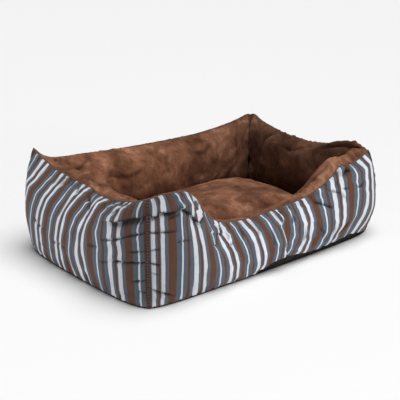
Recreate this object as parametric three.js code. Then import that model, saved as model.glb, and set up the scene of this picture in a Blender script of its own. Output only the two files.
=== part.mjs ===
// Rectangular bolster bed for a cat or small dog, with a loose cushion in the well.
// Millimetres, +X along the long side, +Z up, underside on z = 0.
// Each padded wall is a striped outer panel and a suede inner panel sewn together
// in an overlocked ridge, round a loose fibre filling.  The long wall at -Y has the entrance dip.
import * as THREE from 'three';

// ---------------------------------------------------------------- driving dimensions
// tops of the four corner peaks
const PEAKS = {
  A: { x: -313, y: -206, h: 227, sx: -1, sy: -1, crown: 0, foot: 0.5 },   // front left
  D: { x: 319, y: -206, h: 201, sx: 1, sy: -1, crown: 31, foot: 0.1 },   // front right
  C: { x: 326, y: 203, h: 199, sx: 1, sy: 1, crown: 6, foot: 0.5 },      // back right
  B: { x: -319, y: 208, h: 233, sx: -1, sy: 1, crown: 0, foot: 0.5 },    // back left
};
const WALLS = {
  front: { a: 'A', b: 'D', n: [0, -1], w: [1, 0], steps: 22, out: 19, foot: 0.6 },
  right: { a: 'D', b: 'C', n: [1, 0], w: [0, 1], steps: 10, out: 12, foot: 0.6 },
  back: { a: 'C', b: 'B', n: [0, 1], w: [-1, 0], steps: 14, out: 20, foot: 0.75 },
  left: { a: 'B', b: 'A', n: [-1, 0], w: [0, -1], steps: 10, out: 22, foot: 0.85 },
};
// height of the top seam along each wall, from its first peak (-1) to its second (+1)
const SEAM_HEIGHT = {
  front: [[-1, 227], [-0.91, 229], [-0.83, 227], [-0.7, 221], [-0.62, 204], [-0.54, 171], [-0.47, 146], [-0.36, 125],
    [-0.22, 115], [-0.04, 111], [0.14, 113], [0.33, 119], [0.44, 125], [0.56, 140], [0.66, 160], [0.74, 180], [0.84, 179], [0.93, 189], [1, 201]],
  right: [[-1, 201], [-0.87, 198], [-0.65, 192], [-0.43, 185], [-0.1, 180], [0.25, 180], [0.54, 186], [0.8, 195], [0.94, 204], [1, 199]],
  back: [[-1, 199], [-0.955, 203], [-0.86, 196], [-0.58, 186], [-0.39, 183], [-0.15, 184], [0.12, 187], [0.38, 191], [0.63, 197], [0.83, 201], [0.93, 212], [1, 233]],
  left: [[-1, 233], [-0.93, 226], [-0.78, 216], [-0.64, 208], [-0.47, 203], [-0.33, 201], [-0.15, 199], [0.05, 196], [0.16, 191], [0.33, 190], [0.53, 197], [0.7, 205], [0.9, 219], [1, 227]],
};
// how far the seam line is drawn towards the well
const SEAM_INSET = {
  front: [[-1, 0], [-0.8, 4], [-0.6, 10], [-0.45, 18], [-0.2, 24], [0, 26], [0.2, 24], [0.45, 18], [0.65, 10], [0.85, 4], [1, 0]],
  right: [[-1, 0], [-0.5, 5], [0, 6], [0.5, 5], [1, 0]],
  back: [[-1, 0], [-0.5, 4], [0, 5], [0.5, 4], [1, 0]],
  left: [[-1, 0], [-0.5, 3], [0, 5], [0.5, 3], [1, 0]],
};
// how far the suede crown of the bolster stands above the seam
const CROWN = {
  front: [[-1, 0], [-0.9, -2], [-0.7, -4], [-0.58, 0], [-0.45, 4], [0, 4], [0.45, 9], [0.65, 17], [0.85, 25], [1, 31]],
  right: [[-1, 31], [-0.8, 29], [-0.6, 22], [-0.3, 15], [0.4, 14], [0.8, 12], [1, 6]],
  back: [[-1, 6], [-0.85, 9], [-0.5, 13], [0.5, 14], [0.85, 12], [1, 0]],
  left: [[-1, 0], [-0.85, 8], [-0.5, 13], [0.1, 13], [0.6, 9], [0.85, 3], [1, 0]],
};
// inner cloth from the well floor (0) over the crown to the seam (1): depth behind the seam, share of the height, share of the crown
const INNER_DEPTH = [[0, 50], [0.15, 57], [0.3, 61], [0.45, 61], [0.58, 56], [0.68, 47], [0.77, 35], [0.85, 22], [0.92, 10], [1, 0]];
const INNER_RISE = [[0, 0], [0.15, 0.2], [0.3, 0.41], [0.45, 0.61], [0.58, 0.78], [0.68, 0.89], [0.77, 0.955], [0.85, 0.985], [0.92, 1], [1, 1]];
const INNER_CROWN = [[0, 0], [0.45, 0.08], [0.58, 0.3], [0.68, 0.62], [0.77, 0.88], [0.85, 1], [0.92, 0.72], [1, 0]];
const PANEL = 1.6;            // outer and inner cloth, with its nap
const GAP = 0.35;             // free space kept between neighbouring pieces
const OUTER_FOOT = 4;         // lower edge of the striped panels
const WELL_FLOOR = 20;        // lower edge of the suede panels
const CORNER_DEPTH = 50;      // diagonal depth of the bolster at a corner, in x and in y
const UNDERSIDE = 1.6;        // non-slip sheet
const PAD_TOP = 18;           // thin pad in the floor of the bed
const DECK = 1.6;             // cloth floor of the well
const RIM = { w: 2.4, h: 3.4, lift: 1.3 };
const CUSHION = { cx: 3.5, cy: -2, hx: 253, hy: 139, seam: 50, top: 104, bottom: 20.4, rings: 5, around: 32, power: 7 };

const OUTER_STATIONS = [0, 0.2, 0.42, 0.6, 0.76, 0.88, 0.95, 1];
const INNER_STATIONS = [1, 0.92, 0.85, 0.77, 0.68, 0.57, 0.43, 0.28, 0.14, 0];
const SEGS_OUT = OUTER_STATIONS.length - 1;
const SEGS_IN = INNER_STATIONS.length - 1;

// ---------------------------------------------------------------- shape of the bolster
function table(rows, x) {     // monotone cubic through the rows
  const n = rows.length;
  if (x <= rows[0][0]) return rows[0][1];
  if (x >= rows[n - 1][0]) return rows[n - 1][1];
  const h = [], d = [];
  for (let i = 0; i < n - 1; i++) { h.push(rows[i + 1][0] - rows[i][0]); d.push((rows[i + 1][1] - rows[i][1]) / h[i]); }
  const m = [d[0]];
  for (let i = 1; i < n - 1; i++) {
    if (d[i - 1] * d[i] <= 0) m.push(0);
    else { const w1 = 2 * h[i] + h[i - 1], w2 = h[i] + 2 * h[i - 1]; m.push((w1 + w2) / (w1 / d[i - 1] + w2 / d[i])); }
  }
  m.push(d[n - 2]);
  let i = 0; while (i < n - 2 && x > rows[i + 1][0]) i++;
  const t = (x - rows[i][0]) / h[i], t2 = t * t, t3 = t2 * t;
  return (2 * t3 - 3 * t2 + 1) * rows[i][1] + (t3 - 2 * t2 + t) * h[i] * m[i] + (-2 * t3 + 3 * t2) * rows[i + 1][1] + (t3 - t2) * h[i] * m[i + 1];
}
const rise = (delta, k) => 1 - Math.exp(-delta / k);
const halfLength = (name) => (name === 'front' || name === 'back' ? 320 : 207);
// sideways swell of the outer cloth, from its foot (0) to the seam (1): full at 0.4, rounding over towards the seam
function swell(t, foot, power) {
  if (t < 0.4) return 1 - (1 - foot) * Math.pow((0.4 - t) / 0.4, 1.6);
  return Math.pow(Math.max(0, 1 - Math.pow((t - 0.4) / 0.6, 2.3)), power);
}

function outerPoint(name, u, t) {
  const W = WALLS[name], p = PEAKS[W.a], q = PEAKS[W.b], f = (1 - u) / 2, g = (1 + u) / 2;
  const dp = 17 * swell(t, p.foot, 0.85), dq = 17 * swell(t, q.foot, 0.85);
  const b = (W.out * rise(halfLength(name) * (1 - Math.abs(u)), 26) + 9 * (1 - u * u)) * swell(t, W.foot, 0.62) - table(SEAM_INSET[name], u) * Math.pow(t, 1.6);
  const zt = table(SEAM_HEIGHT[name], u);
  return new THREE.Vector3(
    (p.x + p.sx * dp) * f + (q.x + q.sx * dq) * g + W.n[0] * b,
    (p.y + p.sy * dp) * f + (q.y + q.sy * dq) * g + W.n[1] * b,
    OUTER_FOOT + (zt - OUTER_FOOT) * t);
}
function innerPoint(name, u, t) {
  const W = WALLS[name], p = PEAKS[W.a], q = PEAKS[W.b], f = (1 - u) / 2, g = (1 + u) / 2;
  const zt = table(SEAM_HEIGHT[name], u), w = rise(halfLength(name) * (1 - Math.abs(u)), 40);
  const corner = CORNER_DEPTH * Math.pow(Math.max(0, Math.cos(Math.PI / 2 * t)), 0.8);
  const d = -corner;
  const extra = (table(INNER_DEPTH, t) * (0.75 + 0.25 * Math.min(1, zt / 190)) - corner) * w;
  const b = -extra - table(SEAM_INSET[name], u) * Math.pow(t, 1.6);
  const cornerCrown = p.crown * f + q.crown * g;
  const zCorner = WELL_FLOOR + (zt - WELL_FLOOR) * t + cornerCrown * table(INNER_CROWN, t);
  const zWall = WELL_FLOOR + (zt - WELL_FLOOR) * table(INNER_RISE, t) + table(CROWN[name], u) * table(INNER_CROWN, t);
  return new THREE.Vector3(
    (p.x + p.sx * d) * f + (q.x + q.sx * d) * g + W.n[0] * b,
    (p.y + p.sy * d) * f + (q.y + q.sy * d) * g + W.n[1] * b,
    zCorner * (1 - w) + zWall * w);
}

// one cross-section of a wall: outer foot -> seam -> inner foot, with in-plane mitred offsets
function section(name, u) {
  const W = WALLS[name];
  const pts = [];
  for (let i = 0; i <= SEGS_OUT; i++) pts.push(outerPoint(name, u, OUTER_STATIONS[i]));
  for (let i = 1; i <= SEGS_IN; i++) pts.push(innerPoint(name, u, INNER_STATIONS[i]));
  const q = pts.map((P) => [P.x * W.n[0] + P.y * W.n[1], P.z]);
  const normal = (i, j) => { const dx = q[j][0] - q[i][0], dz = q[j][1] - q[i][1], l = Math.hypot(dx, dz); return [dz / l, -dx / l]; };
  const move = pts.map((_, i) => {
    if (i === 0) return [1, 0];
    if (i === pts.length - 1) return [-1, 0];
    const a = normal(i - 1, i), b = normal(i, i + 1), k = 1 + a[0] * b[0] + a[1] * b[1];
    return [(a[0] + b[0]) / k, (a[1] + b[1]) / k];
  });
  const s = SEGS_OUT;
  const a = normal(s - 1, s), b = normal(s, s + 1);
  const half = (Math.PI - Math.acos(Math.min(1, Math.max(-1, a[0] * b[0] + a[1] * b[1])))) / 2;
  const trim = PANEL / Math.tan(half) + 0.25;
  // a point of the section moved outwards by d (negative: into the filling)
  const at = (i, d) => {
    const m = move[i], P = pts[i].clone();
    P.x += d * m[0] * (W.n[0] + u * W.w[0]) - u * 0.25 * W.w[0];
    P.y += d * m[0] * (W.n[1] + u * W.w[1]) - u * 0.25 * W.w[1];
    P.z += d * m[1];
    return P;
  };
  // same, at the cut edge of a panel beside the seam (side -1 outer, +1 inner)
  const edge = (side, d) => {
    const n = side < 0 ? a : b, j = s + side, l = Math.hypot(q[j][0] - q[s][0], q[j][1] - q[s][1]), f = Math.min(0.6, trim / l);
    const P = pts[s].clone().lerp(pts[j], f);
    P.x += d * n[0] * (W.n[0] + u * W.w[0]) - u * 0.25 * W.w[0];
    P.y += d * n[0] * (W.n[1] + u * W.w[1]) - u * 0.25 * W.w[1];
    P.z += d * n[1];
    return P;
  };
  const m = move[s], ml = Math.hypot(m[0], m[1]);
  return { pts, at, edge, up: [m[0] / ml, m[1] / ml], W, u };
}
const stations = (name) => {
  const n = WALLS[name].steps, out = [];
  for (let i = 0; i <= n; i++) { const x = -1 + 2 * i / n; out.push(x * (1.22 - 0.22 * x * x)); } // closer together at the corners
  return out;
};

// ---------------------------------------------------------------- mesh helpers
class Builder {
  constructor() { this.v = []; this.f = []; }
  add(p) { this.v.push(p.x, p.y, p.z); return this.v.length / 3 - 1; }
  tri(a, b, c) { this.f.push(a, b, c); }
  quad(a, b, c, d) { this.tri(a, b, c); this.tri(a, c, d); }
  // closed skin over rings of equal length, capped at both ends unless the rings close on themselves
  loft(rings, closed = false) {
    const id = rings.map((r) => r.map((p) => this.add(p))), n = rings[0].length, m = rings.length;
    for (let i = 0; i < (closed ? m : m - 1); i++) for (let j = 0; j < n; j++) {
      const k = (j + 1) % n, i2 = (i + 1) % m;
      this.quad(id[i][j], id[i2][j], id[i2][k], id[i][k]);
    }
    if (!closed) for (const [r, flip] of [[0, false], [m - 1, true]]) {
      const c = rings[r].reduce((s, p) => s.add(p), new THREE.Vector3()).multiplyScalar(1 / n);
      const ci = this.add(c);
      for (let j = 0; j < n; j++) { const k = (j + 1) % n; if (flip) this.tri(ci, id[r][k], id[r][j]); else this.tri(ci, id[r][j], id[r][k]); }
    }
    return this;
  }
  // closed sheet between two grids of points
  shell(top, bottom) {
    const T = top.map((r) => r.map((p) => this.add(p))), B = bottom.map((r) => r.map((p) => this.add(p)));
    const m = T.length, n = T[0].length;
    for (let i = 0; i < m - 1; i++) for (let j = 0; j < n - 1; j++) {
      this.quad(T[i][j], T[i + 1][j], T[i + 1][j + 1], T[i][j + 1]);
      this.quad(B[i][j], B[i][j + 1], B[i + 1][j + 1], B[i + 1][j]);
    }
    for (let i = 0; i < m - 1; i++) { this.quad(T[i][0], B[i][0], B[i + 1][0], T[i + 1][0]); this.quad(T[i][n - 1], T[i + 1][n - 1], B[i + 1][n - 1], B[i][n - 1]); }
    for (let j = 0; j < n - 1; j++) { this.quad(T[0][j], T[0][j + 1], B[0][j + 1], B[0][j]); this.quad(T[m - 1][j], B[m - 1][j], B[m - 1][j + 1], T[m - 1][j + 1]); }
    return this;
  }
  geometry() {
    const g = new THREE.BufferGeometry();
    let vol = 0;
    const v = this.v, f = this.f;
    for (let i = 0; i < f.length; i += 3) {
      const [a, b, c] = [f[i] * 3, f[i + 1] * 3, f[i + 2] * 3];
      vol += v[a] * (v[b + 1] * v[c + 2] - v[b + 2] * v[c + 1]) + v[a + 1] * (v[b + 2] * v[c] - v[b] * v[c + 2]) + v[a + 2] * (v[b] * v[c + 1] - v[b + 1] * v[c]);
    }
    if (vol < 0) for (let i = 0; i < f.length; i += 3) [f[i + 1], f[i + 2]] = [f[i + 2], f[i + 1]];
    g.setAttribute('position', new THREE.Float32BufferAttribute(v, 3));
    g.setIndex(f);
    g.computeVertexNormals();
    return g;
  }
}
const group = new THREE.Group();
group.name = 'pet_cushion_bed';
const material = (color, roughness) => new THREE.MeshStandardMaterial({ color, roughness, metalness: 0 });
function piece(name, builder, color, roughness) {
  const mesh = new THREE.Mesh(builder.geometry(), material(color, roughness));
  mesh.name = name;
  group.add(mesh);
}
const STRIPE = 0x807a79, SUEDE = 0x7b5843, DARK = 0x1f1b1a, FIBRE = 0xefece4, THREAD = 0x4b3226;

// ---------------------------------------------------------------- padded walls
const sections = {};
for (const name of Object.keys(WALLS)) sections[name] = stations(name).map((u) => section(name, u));

for (const name of Object.keys(WALLS)) {
  const S = sections[name], s = SEGS_OUT, last = SEGS_OUT + SEGS_IN;
  const outerAt = (d) => S.map((c) => [...Array(s).keys()].map((i) => c.at(i, d)).concat([c.edge(-1, d)]));
  piece(`${name}_outer_panel`, new Builder().shell(outerAt(0), outerAt(-PANEL)), STRIPE, 0.85);
  const innerAt = (d) => S.map((c) => { const r = [c.edge(1, d)]; for (let i = s + 1; i <= last; i++) r.push(c.at(i, d)); return r; });
  piece(`${name}_inner_panel`, new Builder().shell(innerAt(0), innerAt(-PANEL)), SUEDE, 0.95);
  // filling: follows both panels, flat underneath
  const d = -(PANEL + 2 * GAP);
  const rings = S.map((c) => {
    const r = [];
    for (let i = 0; i <= last; i++) r.push(c.at(i, d));
    const inLow = r[last].clone(); inLow.z = UNDERSIDE + GAP;
    const outLow = c.at(0, d - 1.6); outLow.z = UNDERSIDE + GAP;
    r.push(inLow, outLow);
    return r;
  });
  piece(`${name}_wall_filling`, new Builder().loft(rings), FIBRE, 0.95);
  // overlocked ridge standing on the joint between the two panels
  const rim = S.map((c) => {
    const P = c.at(s, 0), W = c.W, n = new THREE.Vector3(c.up[0] * (W.n[0] + c.u * W.w[0]), c.up[0] * (W.n[1] + c.u * W.w[1]), c.up[1]);
    const side = new THREE.Vector3(c.up[1] * (W.n[0] + c.u * W.w[0]), c.up[1] * (W.n[1] + c.u * W.w[1]), -c.up[0]);
    const lo = RIM.lift, hi = lo + RIM.h, w = RIM.w / 2;
    return [[-w * 0.6, lo], [w * 0.6, lo], [w, hi], [-w, hi]]
      .map(([x, y]) => P.clone().addScaledVector(side, x).addScaledVector(n, y));
  });
  piece(`${name}_rim_seam`, new Builder().loft(rim), THREAD, 0.8);
}

// ---------------------------------------------------------------- upright corner seams
const CORNER_NAMES = { A: 'front_left', D: 'front_right', C: 'back_right', B: 'back_left' };
for (const [k, label] of Object.entries(CORNER_NAMES)) {
  const c = PEAKS[k], wall = Object.keys(WALLS).find((w) => WALLS[w].a === k);
  const diag = new THREE.Vector3(c.sx, c.sy, 0).normalize(), along = new THREE.Vector3(-c.sy, c.sx, 0).normalize();
  const tube = (point, t0, t1, out, r) => {
    const rings = [];
    for (let i = 0; i <= 8; i++) {
      const t = t0 + (t1 - t0) * i / 8, P = point(wall, -1, t);
      rings.push([[-r, 0], [0, r], [r, 0], [0, -r]].map(([x, y]) => P.clone().addScaledVector(diag, out + y).addScaledVector(along, x)));
    }
    return new Builder().loft(rings);
  };
  piece(`${label}_outer_corner_seam`, tube(outerPoint, 0.02, 0.94, 2.4, 1.5), THREAD, 0.8);
  piece(`${label}_inner_corner_seam`, tube(innerPoint, 0.02, 0.84, -5.2, 1.2), THREAD, 0.8);
}

// ---------------------------------------------------------------- floor of the bed
const loop = (fn, shift) => {  // once round the bed at the foot of the panels, moved sideways by shift
  const out = [];
  for (const name of Object.keys(WALLS)) {
    const W = WALLS[name], us = stations(name);
    for (let i = 0; i < us.length - 1; i++) {
      const u = us[i], P = fn(name, u, 0);
      out.push(new THREE.Vector3(P.x + shift * (W.n[0] + u * W.w[0]), P.y + shift * (W.n[1] + u * W.w[1]), 0));
    }
  }
  return out;
};
function slab(outline, z0, z1) {
  const lo = outline.map((p) => p.clone().setZ(z0)), hi = outline.map((p) => p.clone().setZ(z1));
  return new Builder().loft([lo, hi]);
}
piece('underside_panel', slab(loop(outerPoint, -4.2), 0, UNDERSIDE), DARK, 0.7);
{
  const ring = loop(outerPoint, -0.8), inner = loop(outerPoint, -0.8 - 1.1), outer = loop(outerPoint, -0.8 + 1.1);
  const rings = ring.map((p, i) => [outer[i].clone().setZ(2.1), p.clone().setZ(3.3), inner[i].clone().setZ(2.1), p.clone().setZ(0.9)]);
  piece('base_edge_seam', new Builder().loft(rings, true), THREAD, 0.8);
}
piece('base_pad', slab(loop(innerPoint, -0.5), UNDERSIDE + GAP, PAD_TOP), FIBRE, 0.95);
piece('deck_panel', slab(loop(innerPoint, -0.5), PAD_TOP + GAP, PAD_TOP + GAP + DECK), SUEDE, 0.95);

// ---------------------------------------------------------------- loose cushion
{
  const K = CUSHION, N = K.around;
  const dir = [...Array(N).keys()].map((i) => {
    const a = 2 * Math.PI * i / N, c = Math.cos(a), s = Math.sin(a);
    // evenly spread round a rounded rectangle
    const x = Math.sign(c) * Math.pow(Math.abs(c), 2 / 4.2), y = Math.sign(s) * Math.pow(Math.abs(s), 2 / 4.2);
    const k = Math.pow(Math.pow(Math.abs(x), K.power) + Math.pow(Math.abs(y), K.power), -1 / K.power);
    return [x * k, y * k];
  });
  const radii = [...Array(K.rings).keys()].map((i) => Math.sin(Math.PI / 2 * (i + 1) / K.rings));
  const top = (r) => Math.pow(Math.max(0, 1 - Math.pow(r, 2.8)), 0.62);
  const bottom = (r) => Math.sqrt(Math.max(0, 1 - Math.pow(Math.max(0, (r - 0.72) / 0.28), 2)));
  const ring = (r, grow, z) => dir.map(([x, y]) => new THREE.Vector3(K.cx + x * r * (K.hx + grow), K.cy + y * r * (K.hy + grow), z));
  // dome of rings with a point in the middle
  const dome = (b, grow, z0, h, f) => {
    const ids = radii.map((r) => ring(r, grow, z0 + h * f(r)).map((p) => b.add(p)));
    const c = b.add(new THREE.Vector3(K.cx, K.cy, z0 + h * f(0)));
    for (let j = 0; j < N; j++) {
      const k = (j + 1) % N;
      b.tri(c, ids[0][j], ids[0][k]);
      for (let i = 0; i < ids.length - 1; i++) { b.tri(ids[i][j], ids[i + 1][j], ids[i + 1][k]); b.tri(ids[i][j], ids[i + 1][k], ids[i][k]); }
    }
    return ids[ids.length - 1];
  };
  const flipFrom = (b, n) => { for (let i = n; i < b.f.length; i += 3) [b.f[i + 1], b.f[i + 2]] = [b.f[i + 2], b.f[i + 1]]; };
  const cover = (z0, h, f) => {
    const b = new Builder();
    const A = dome(b, 0, z0, h, f), n = b.f.length;
    const B = dome(b, -PANEL, z0, h - Math.sign(h) * PANEL, f);
    flipFrom(b, n);
    for (let j = 0; j < N; j++) { const k = (j + 1) % N; b.tri(A[k], A[j], B[j]); b.tri(A[k], B[j], B[k]); }
    return b;
  };
  piece('cushion_top_cover', cover(K.seam + 0.2, K.top - K.seam - 0.2, top), SUEDE, 0.95);
  piece('cushion_bottom_cover', cover(K.seam - 0.2, K.bottom - K.seam + 0.2, bottom), SUEDE, 0.95);
  {
    const b = new Builder(), g = -(PANEL + GAP), N2 = radii.length;
    const up = radii.map((r) => ring(r, g, K.seam + (K.top - K.seam + g) * top(r))), dn = radii.map((r) => ring(r, g, K.seam + (K.bottom - K.seam - g) * bottom(r)));
    const iu = up.map((r) => r.map((p) => b.add(p)));
    const id = dn.slice(0, N2 - 1).map((r) => r.map((p) => b.add(p))); id.push(iu[N2 - 1]);
    const cu = b.add(new THREE.Vector3(K.cx, K.cy, K.top + g)), cd = b.add(new THREE.Vector3(K.cx, K.cy, K.bottom - g));
    for (let j = 0; j < N; j++) {
      const k = (j + 1) % N;
      b.tri(cu, iu[0][j], iu[0][k]); b.tri(cd, id[0][k], id[0][j]);
      for (let i = 0; i < N2 - 1; i++) {
        b.tri(iu[i][j], iu[i + 1][j], iu[i + 1][k]); b.tri(iu[i][j], iu[i + 1][k], iu[i][k]);
        b.tri(id[i][j], id[i + 1][k], id[i + 1][j]); b.tri(id[i][j], id[i][k], id[i + 1][k]);
      }
    }
    piece('cushion_filling', b, FIBRE, 0.95);
  }
  const r0 = ring(1, 0.4, K.seam), r1 = ring(1, 1.9, K.seam + 1.5), r2 = ring(1, 3.4, K.seam), r3 = ring(1, 1.9, K.seam - 1.5);
  piece('cushion_edge_seam', new Builder().loft(r0.map((_, i) => [r0[i], r1[i], r2[i], r3[i]]), true), THREAD, 0.8);
}

// the origin is on the floor under the middle of the finished bed
const middle = new THREE.Box3().setFromObject(group).getCenter(new THREE.Vector3());
group.traverse((o) => { if (o.isMesh) o.geometry.translate(-middle.x, -middle.y, 0); });

export default group;
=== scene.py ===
import bpy, math
import numpy as np
from mathutils import Vector, Matrix


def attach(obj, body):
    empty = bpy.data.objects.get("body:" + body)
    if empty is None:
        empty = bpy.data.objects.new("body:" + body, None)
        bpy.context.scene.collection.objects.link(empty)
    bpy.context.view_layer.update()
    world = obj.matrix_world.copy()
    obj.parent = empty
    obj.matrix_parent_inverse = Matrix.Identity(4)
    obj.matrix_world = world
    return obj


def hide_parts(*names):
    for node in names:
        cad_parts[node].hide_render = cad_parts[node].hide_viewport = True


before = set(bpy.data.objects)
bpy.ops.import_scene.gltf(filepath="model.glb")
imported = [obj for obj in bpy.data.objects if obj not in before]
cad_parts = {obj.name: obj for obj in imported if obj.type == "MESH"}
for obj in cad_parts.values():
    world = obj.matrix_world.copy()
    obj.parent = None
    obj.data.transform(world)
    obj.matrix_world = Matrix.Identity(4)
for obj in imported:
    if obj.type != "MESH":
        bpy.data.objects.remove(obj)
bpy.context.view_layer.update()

scene = bpy.context.scene
MM = 0.001

# ------------------------------------------------------------------ camera
AZ, EL, DIST = math.radians(-39.6), math.radians(20.0), 2.33
TARGET = Vector((0.0130, 0.0274, 0.085))
back = Vector((math.sin(AZ) * math.cos(EL), -math.cos(AZ) * math.cos(EL), math.sin(EL)))
cam = bpy.data.objects.new("camera", bpy.data.cameras.new("camera"))
scene.collection.objects.link(cam)
cam.data.lens, cam.data.sensor_width = 90.0, 36.0
cam.location = TARGET + back * DIST
cam.rotation_euler = back.to_track_quat("Z", "Y").to_euler()
cam.data.dof.use_dof = False
scene.camera = cam

# ------------------------------------------------------------------ the bed's shape, as in the CAD (mm)
MID = np.array([-1.84941, 2.71949, 0.0])
# x, y, height, directions outwards, crown, foot
PEAKS = dict(A=(-313, -206, 227, -1, -1, 0, 0.5), D=(319, -206, 201, 1, -1, 31, 0.1), C=(326, 203, 199, 1, 1, 6, 0.5), B=(-319, 208, 233, -1, 1, 0, 0.5))
# first and second peak, outward, along, swell, foot, half length
WALLS = dict(
    front=("A", "D", (0, -1), (1, 0), 19, 0.6, 320),
    right=("D", "C", (1, 0), (0, 1), 12, 0.6, 207),
    back=("C", "B", (0, 1), (-1, 0), 20, 0.75, 320),
    left=("B", "A", (-1, 0), (0, -1), 22, 0.85, 207),
)
SEAM_HEIGHT = dict(
    front=[(-1, 227), (-0.91, 229), (-0.83, 227), (-0.7, 221), (-0.62, 204), (-0.54, 171), (-0.47, 146), (-0.36, 125), (-0.22, 115), (-0.04, 111),
           (0.14, 113), (0.33, 119), (0.44, 125), (0.56, 140), (0.66, 160), (0.74, 180), (0.84, 179), (0.93, 189), (1, 201)],
    right=[(-1, 201), (-0.87, 198), (-0.65, 192), (-0.43, 185), (-0.1, 180), (0.25, 180), (0.54, 186), (0.8, 195), (0.94, 204), (1, 199)],
    back=[(-1, 199), (-0.955, 203), (-0.86, 196), (-0.58, 186), (-0.39, 183), (-0.15, 184), (0.12, 187), (0.38, 191), (0.63, 197), (0.83, 201), (0.93, 212), (1, 233)],
    left=[(-1, 233), (-0.93, 226), (-0.78, 216), (-0.64, 208), (-0.47, 203), (-0.33, 201), (-0.15, 199), (0.05, 196), (0.16, 191), (0.33, 190), (0.53, 197),
          (0.7, 205), (0.9, 219), (1, 227)],
)
SEAM_INSET = dict(
    front=[(-1, 0), (-0.8, 4), (-0.6, 10), (-0.45, 18), (-0.2, 24), (0, 26), (0.2, 24), (0.45, 18), (0.65, 10), (0.85, 4), (1, 0)],
    right=[(-1, 0), (-0.5, 5), (0, 6), (0.5, 5), (1, 0)],
    back=[(-1, 0), (-0.5, 4), (0, 5), (0.5, 4), (1, 0)],
    left=[(-1, 0), (-0.5, 3), (0, 5), (0.5, 3), (1, 0)],
)
CROWN = dict(
    front=[(-1, 0), (-0.9, -2), (-0.7, -4), (-0.58, 0), (-0.45, 4), (0, 4), (0.45, 9), (0.65, 17), (0.85, 25), (1, 31)],
    right=[(-1, 31), (-0.8, 29), (-0.6, 22), (-0.3, 15), (0.4, 14), (0.8, 12), (1, 6)],
    back=[(-1, 6), (-0.85, 9), (-0.5, 13), (0.5, 14), (0.85, 12), (1, 0)],
    left=[(-1, 0), (-0.85, 8), (-0.5, 13), (0.1, 13), (0.6, 9), (0.85, 3), (1, 0)],
)
INNER_DEPTH = [(0, 50), (0.15, 57), (0.3, 61), (0.45, 61), (0.58, 56), (0.68, 47), (0.77, 35), (0.85, 22), (0.92, 10), (1, 0)]
INNER_RISE = [(0, 0), (0.15, 0.2), (0.3, 0.41), (0.45, 0.61), (0.58, 0.78), (0.68, 0.89), (0.77, 0.955), (0.85, 0.985), (0.92, 1), (1, 1)]
INNER_CROWN = [(0, 0), (0.45, 0.08), (0.58, 0.3), (0.68, 0.62), (0.77, 0.88), (0.85, 1), (0.92, 0.72), (1, 0)]
FOOT, WELL, DEPTH = 4.0, 20.0, 50.0


def table(rows, x):
    xs, ys = np.array([r[0] for r in rows], float), np.array([r[1] for r in rows], float)
    h, n = np.diff(xs), len(xs)
    d = np.diff(ys) / h
    m = np.zeros(n)
    m[0], m[-1] = d[0], d[-1]
    for i in range(1, n - 1):
        if d[i - 1] * d[i] > 0:
            w1, w2 = 2 * h[i] + h[i - 1], h[i] + 2 * h[i - 1]
            m[i] = (w1 + w2) / (w1 / d[i - 1] + w2 / d[i])
    x = np.clip(x, xs[0], xs[-1])
    i = np.clip(np.searchsorted(xs, x, side="right") - 1, 0, n - 2)
    t = (x - xs[i]) / h[i]
    return (2 * t**3 - 3 * t**2 + 1) * ys[i] + (t**3 - 2 * t**2 + t) * h[i] * m[i] + (-2 * t**3 + 3 * t**2) * ys[i + 1] + (t**3 - t**2) * h[i] * m[i + 1]


def step(x, a=0.0, b=1.0):
    x = np.clip((x - a) / (b - a), 0, 1)
    return x * x * (3 - 2 * x)


def swell(t, foot, power):
    lo = 1 - (1 - foot) * (np.clip(0.4 - t, 0, 1) / 0.4) ** 1.6
    hi = np.clip(1 - (np.clip(t - 0.4, 0, 1) / 0.6) ** 2.3, 0, 1) ** power
    return np.where(t < 0.4, lo, hi)


def outer(name, u, t):
    a, b, n, w, out, foot, half = WALLS[name]
    p, q = PEAKS[a], PEAKS[b]
    u, t = np.broadcast_arrays(np.asarray(u, float), np.asarray(t, float))
    f, g = (1 - u) / 2, (1 + u) / 2
    dp, dq = 17 * swell(t, p[6], 0.85), 17 * swell(t, q[6], 0.85)
    bb = (out * (1 - np.exp(-half * (1 - np.abs(u)) / 26)) + 9 * (1 - u * u)) * swell(t, foot, 0.62) - table(SEAM_INSET[name], u) * t**1.6
    zt = table(SEAM_HEIGHT[name], u)
    return np.stack([(p[0] + p[3] * dp) * f + (q[0] + q[3] * dq) * g + n[0] * bb, (p[1] + p[4] * dp) * f + (q[1] + q[4] * dq) * g + n[1] * bb, FOOT + (zt - FOOT) * t], -1) - MID


def inner(name, u, t):
    a, b, n, w, out, foot, half = WALLS[name]
    p, q = PEAKS[a], PEAKS[b]
    u, t = np.broadcast_arrays(np.asarray(u, float), np.asarray(t, float))
    f, g = (1 - u) / 2, (1 + u) / 2
    zt = table(SEAM_HEIGHT[name], u)
    wt = 1 - np.exp(-half * (1 - np.abs(u)) / 40)
    corner = DEPTH * np.clip(np.cos(np.pi / 2 * t), 0, 1) ** 0.8
    extra = (table(INNER_DEPTH, t) * (0.75 + 0.25 * np.minimum(1, zt / 190)) - corner) * wt
    d = -corner
    bb = -extra - table(SEAM_INSET[name], u) * t**1.6
    cr = table(INNER_CROWN, t)
    zc = WELL + (zt - WELL) * t + (p[5] * f + q[5] * g) * cr
    zw = WELL + (zt - WELL) * table(INNER_RISE, t) + table(CROWN[name], u) * cr
    return np.stack([(p[0] + p[3] * d) * f + (q[0] + q[3] * d) * g + n[0] * bb, (p[1] + p[4] * d) * f + (q[1] + q[4] * d) * g + n[1] * bb, zc * (1 - wt) + zw * wt], -1) - MID


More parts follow.
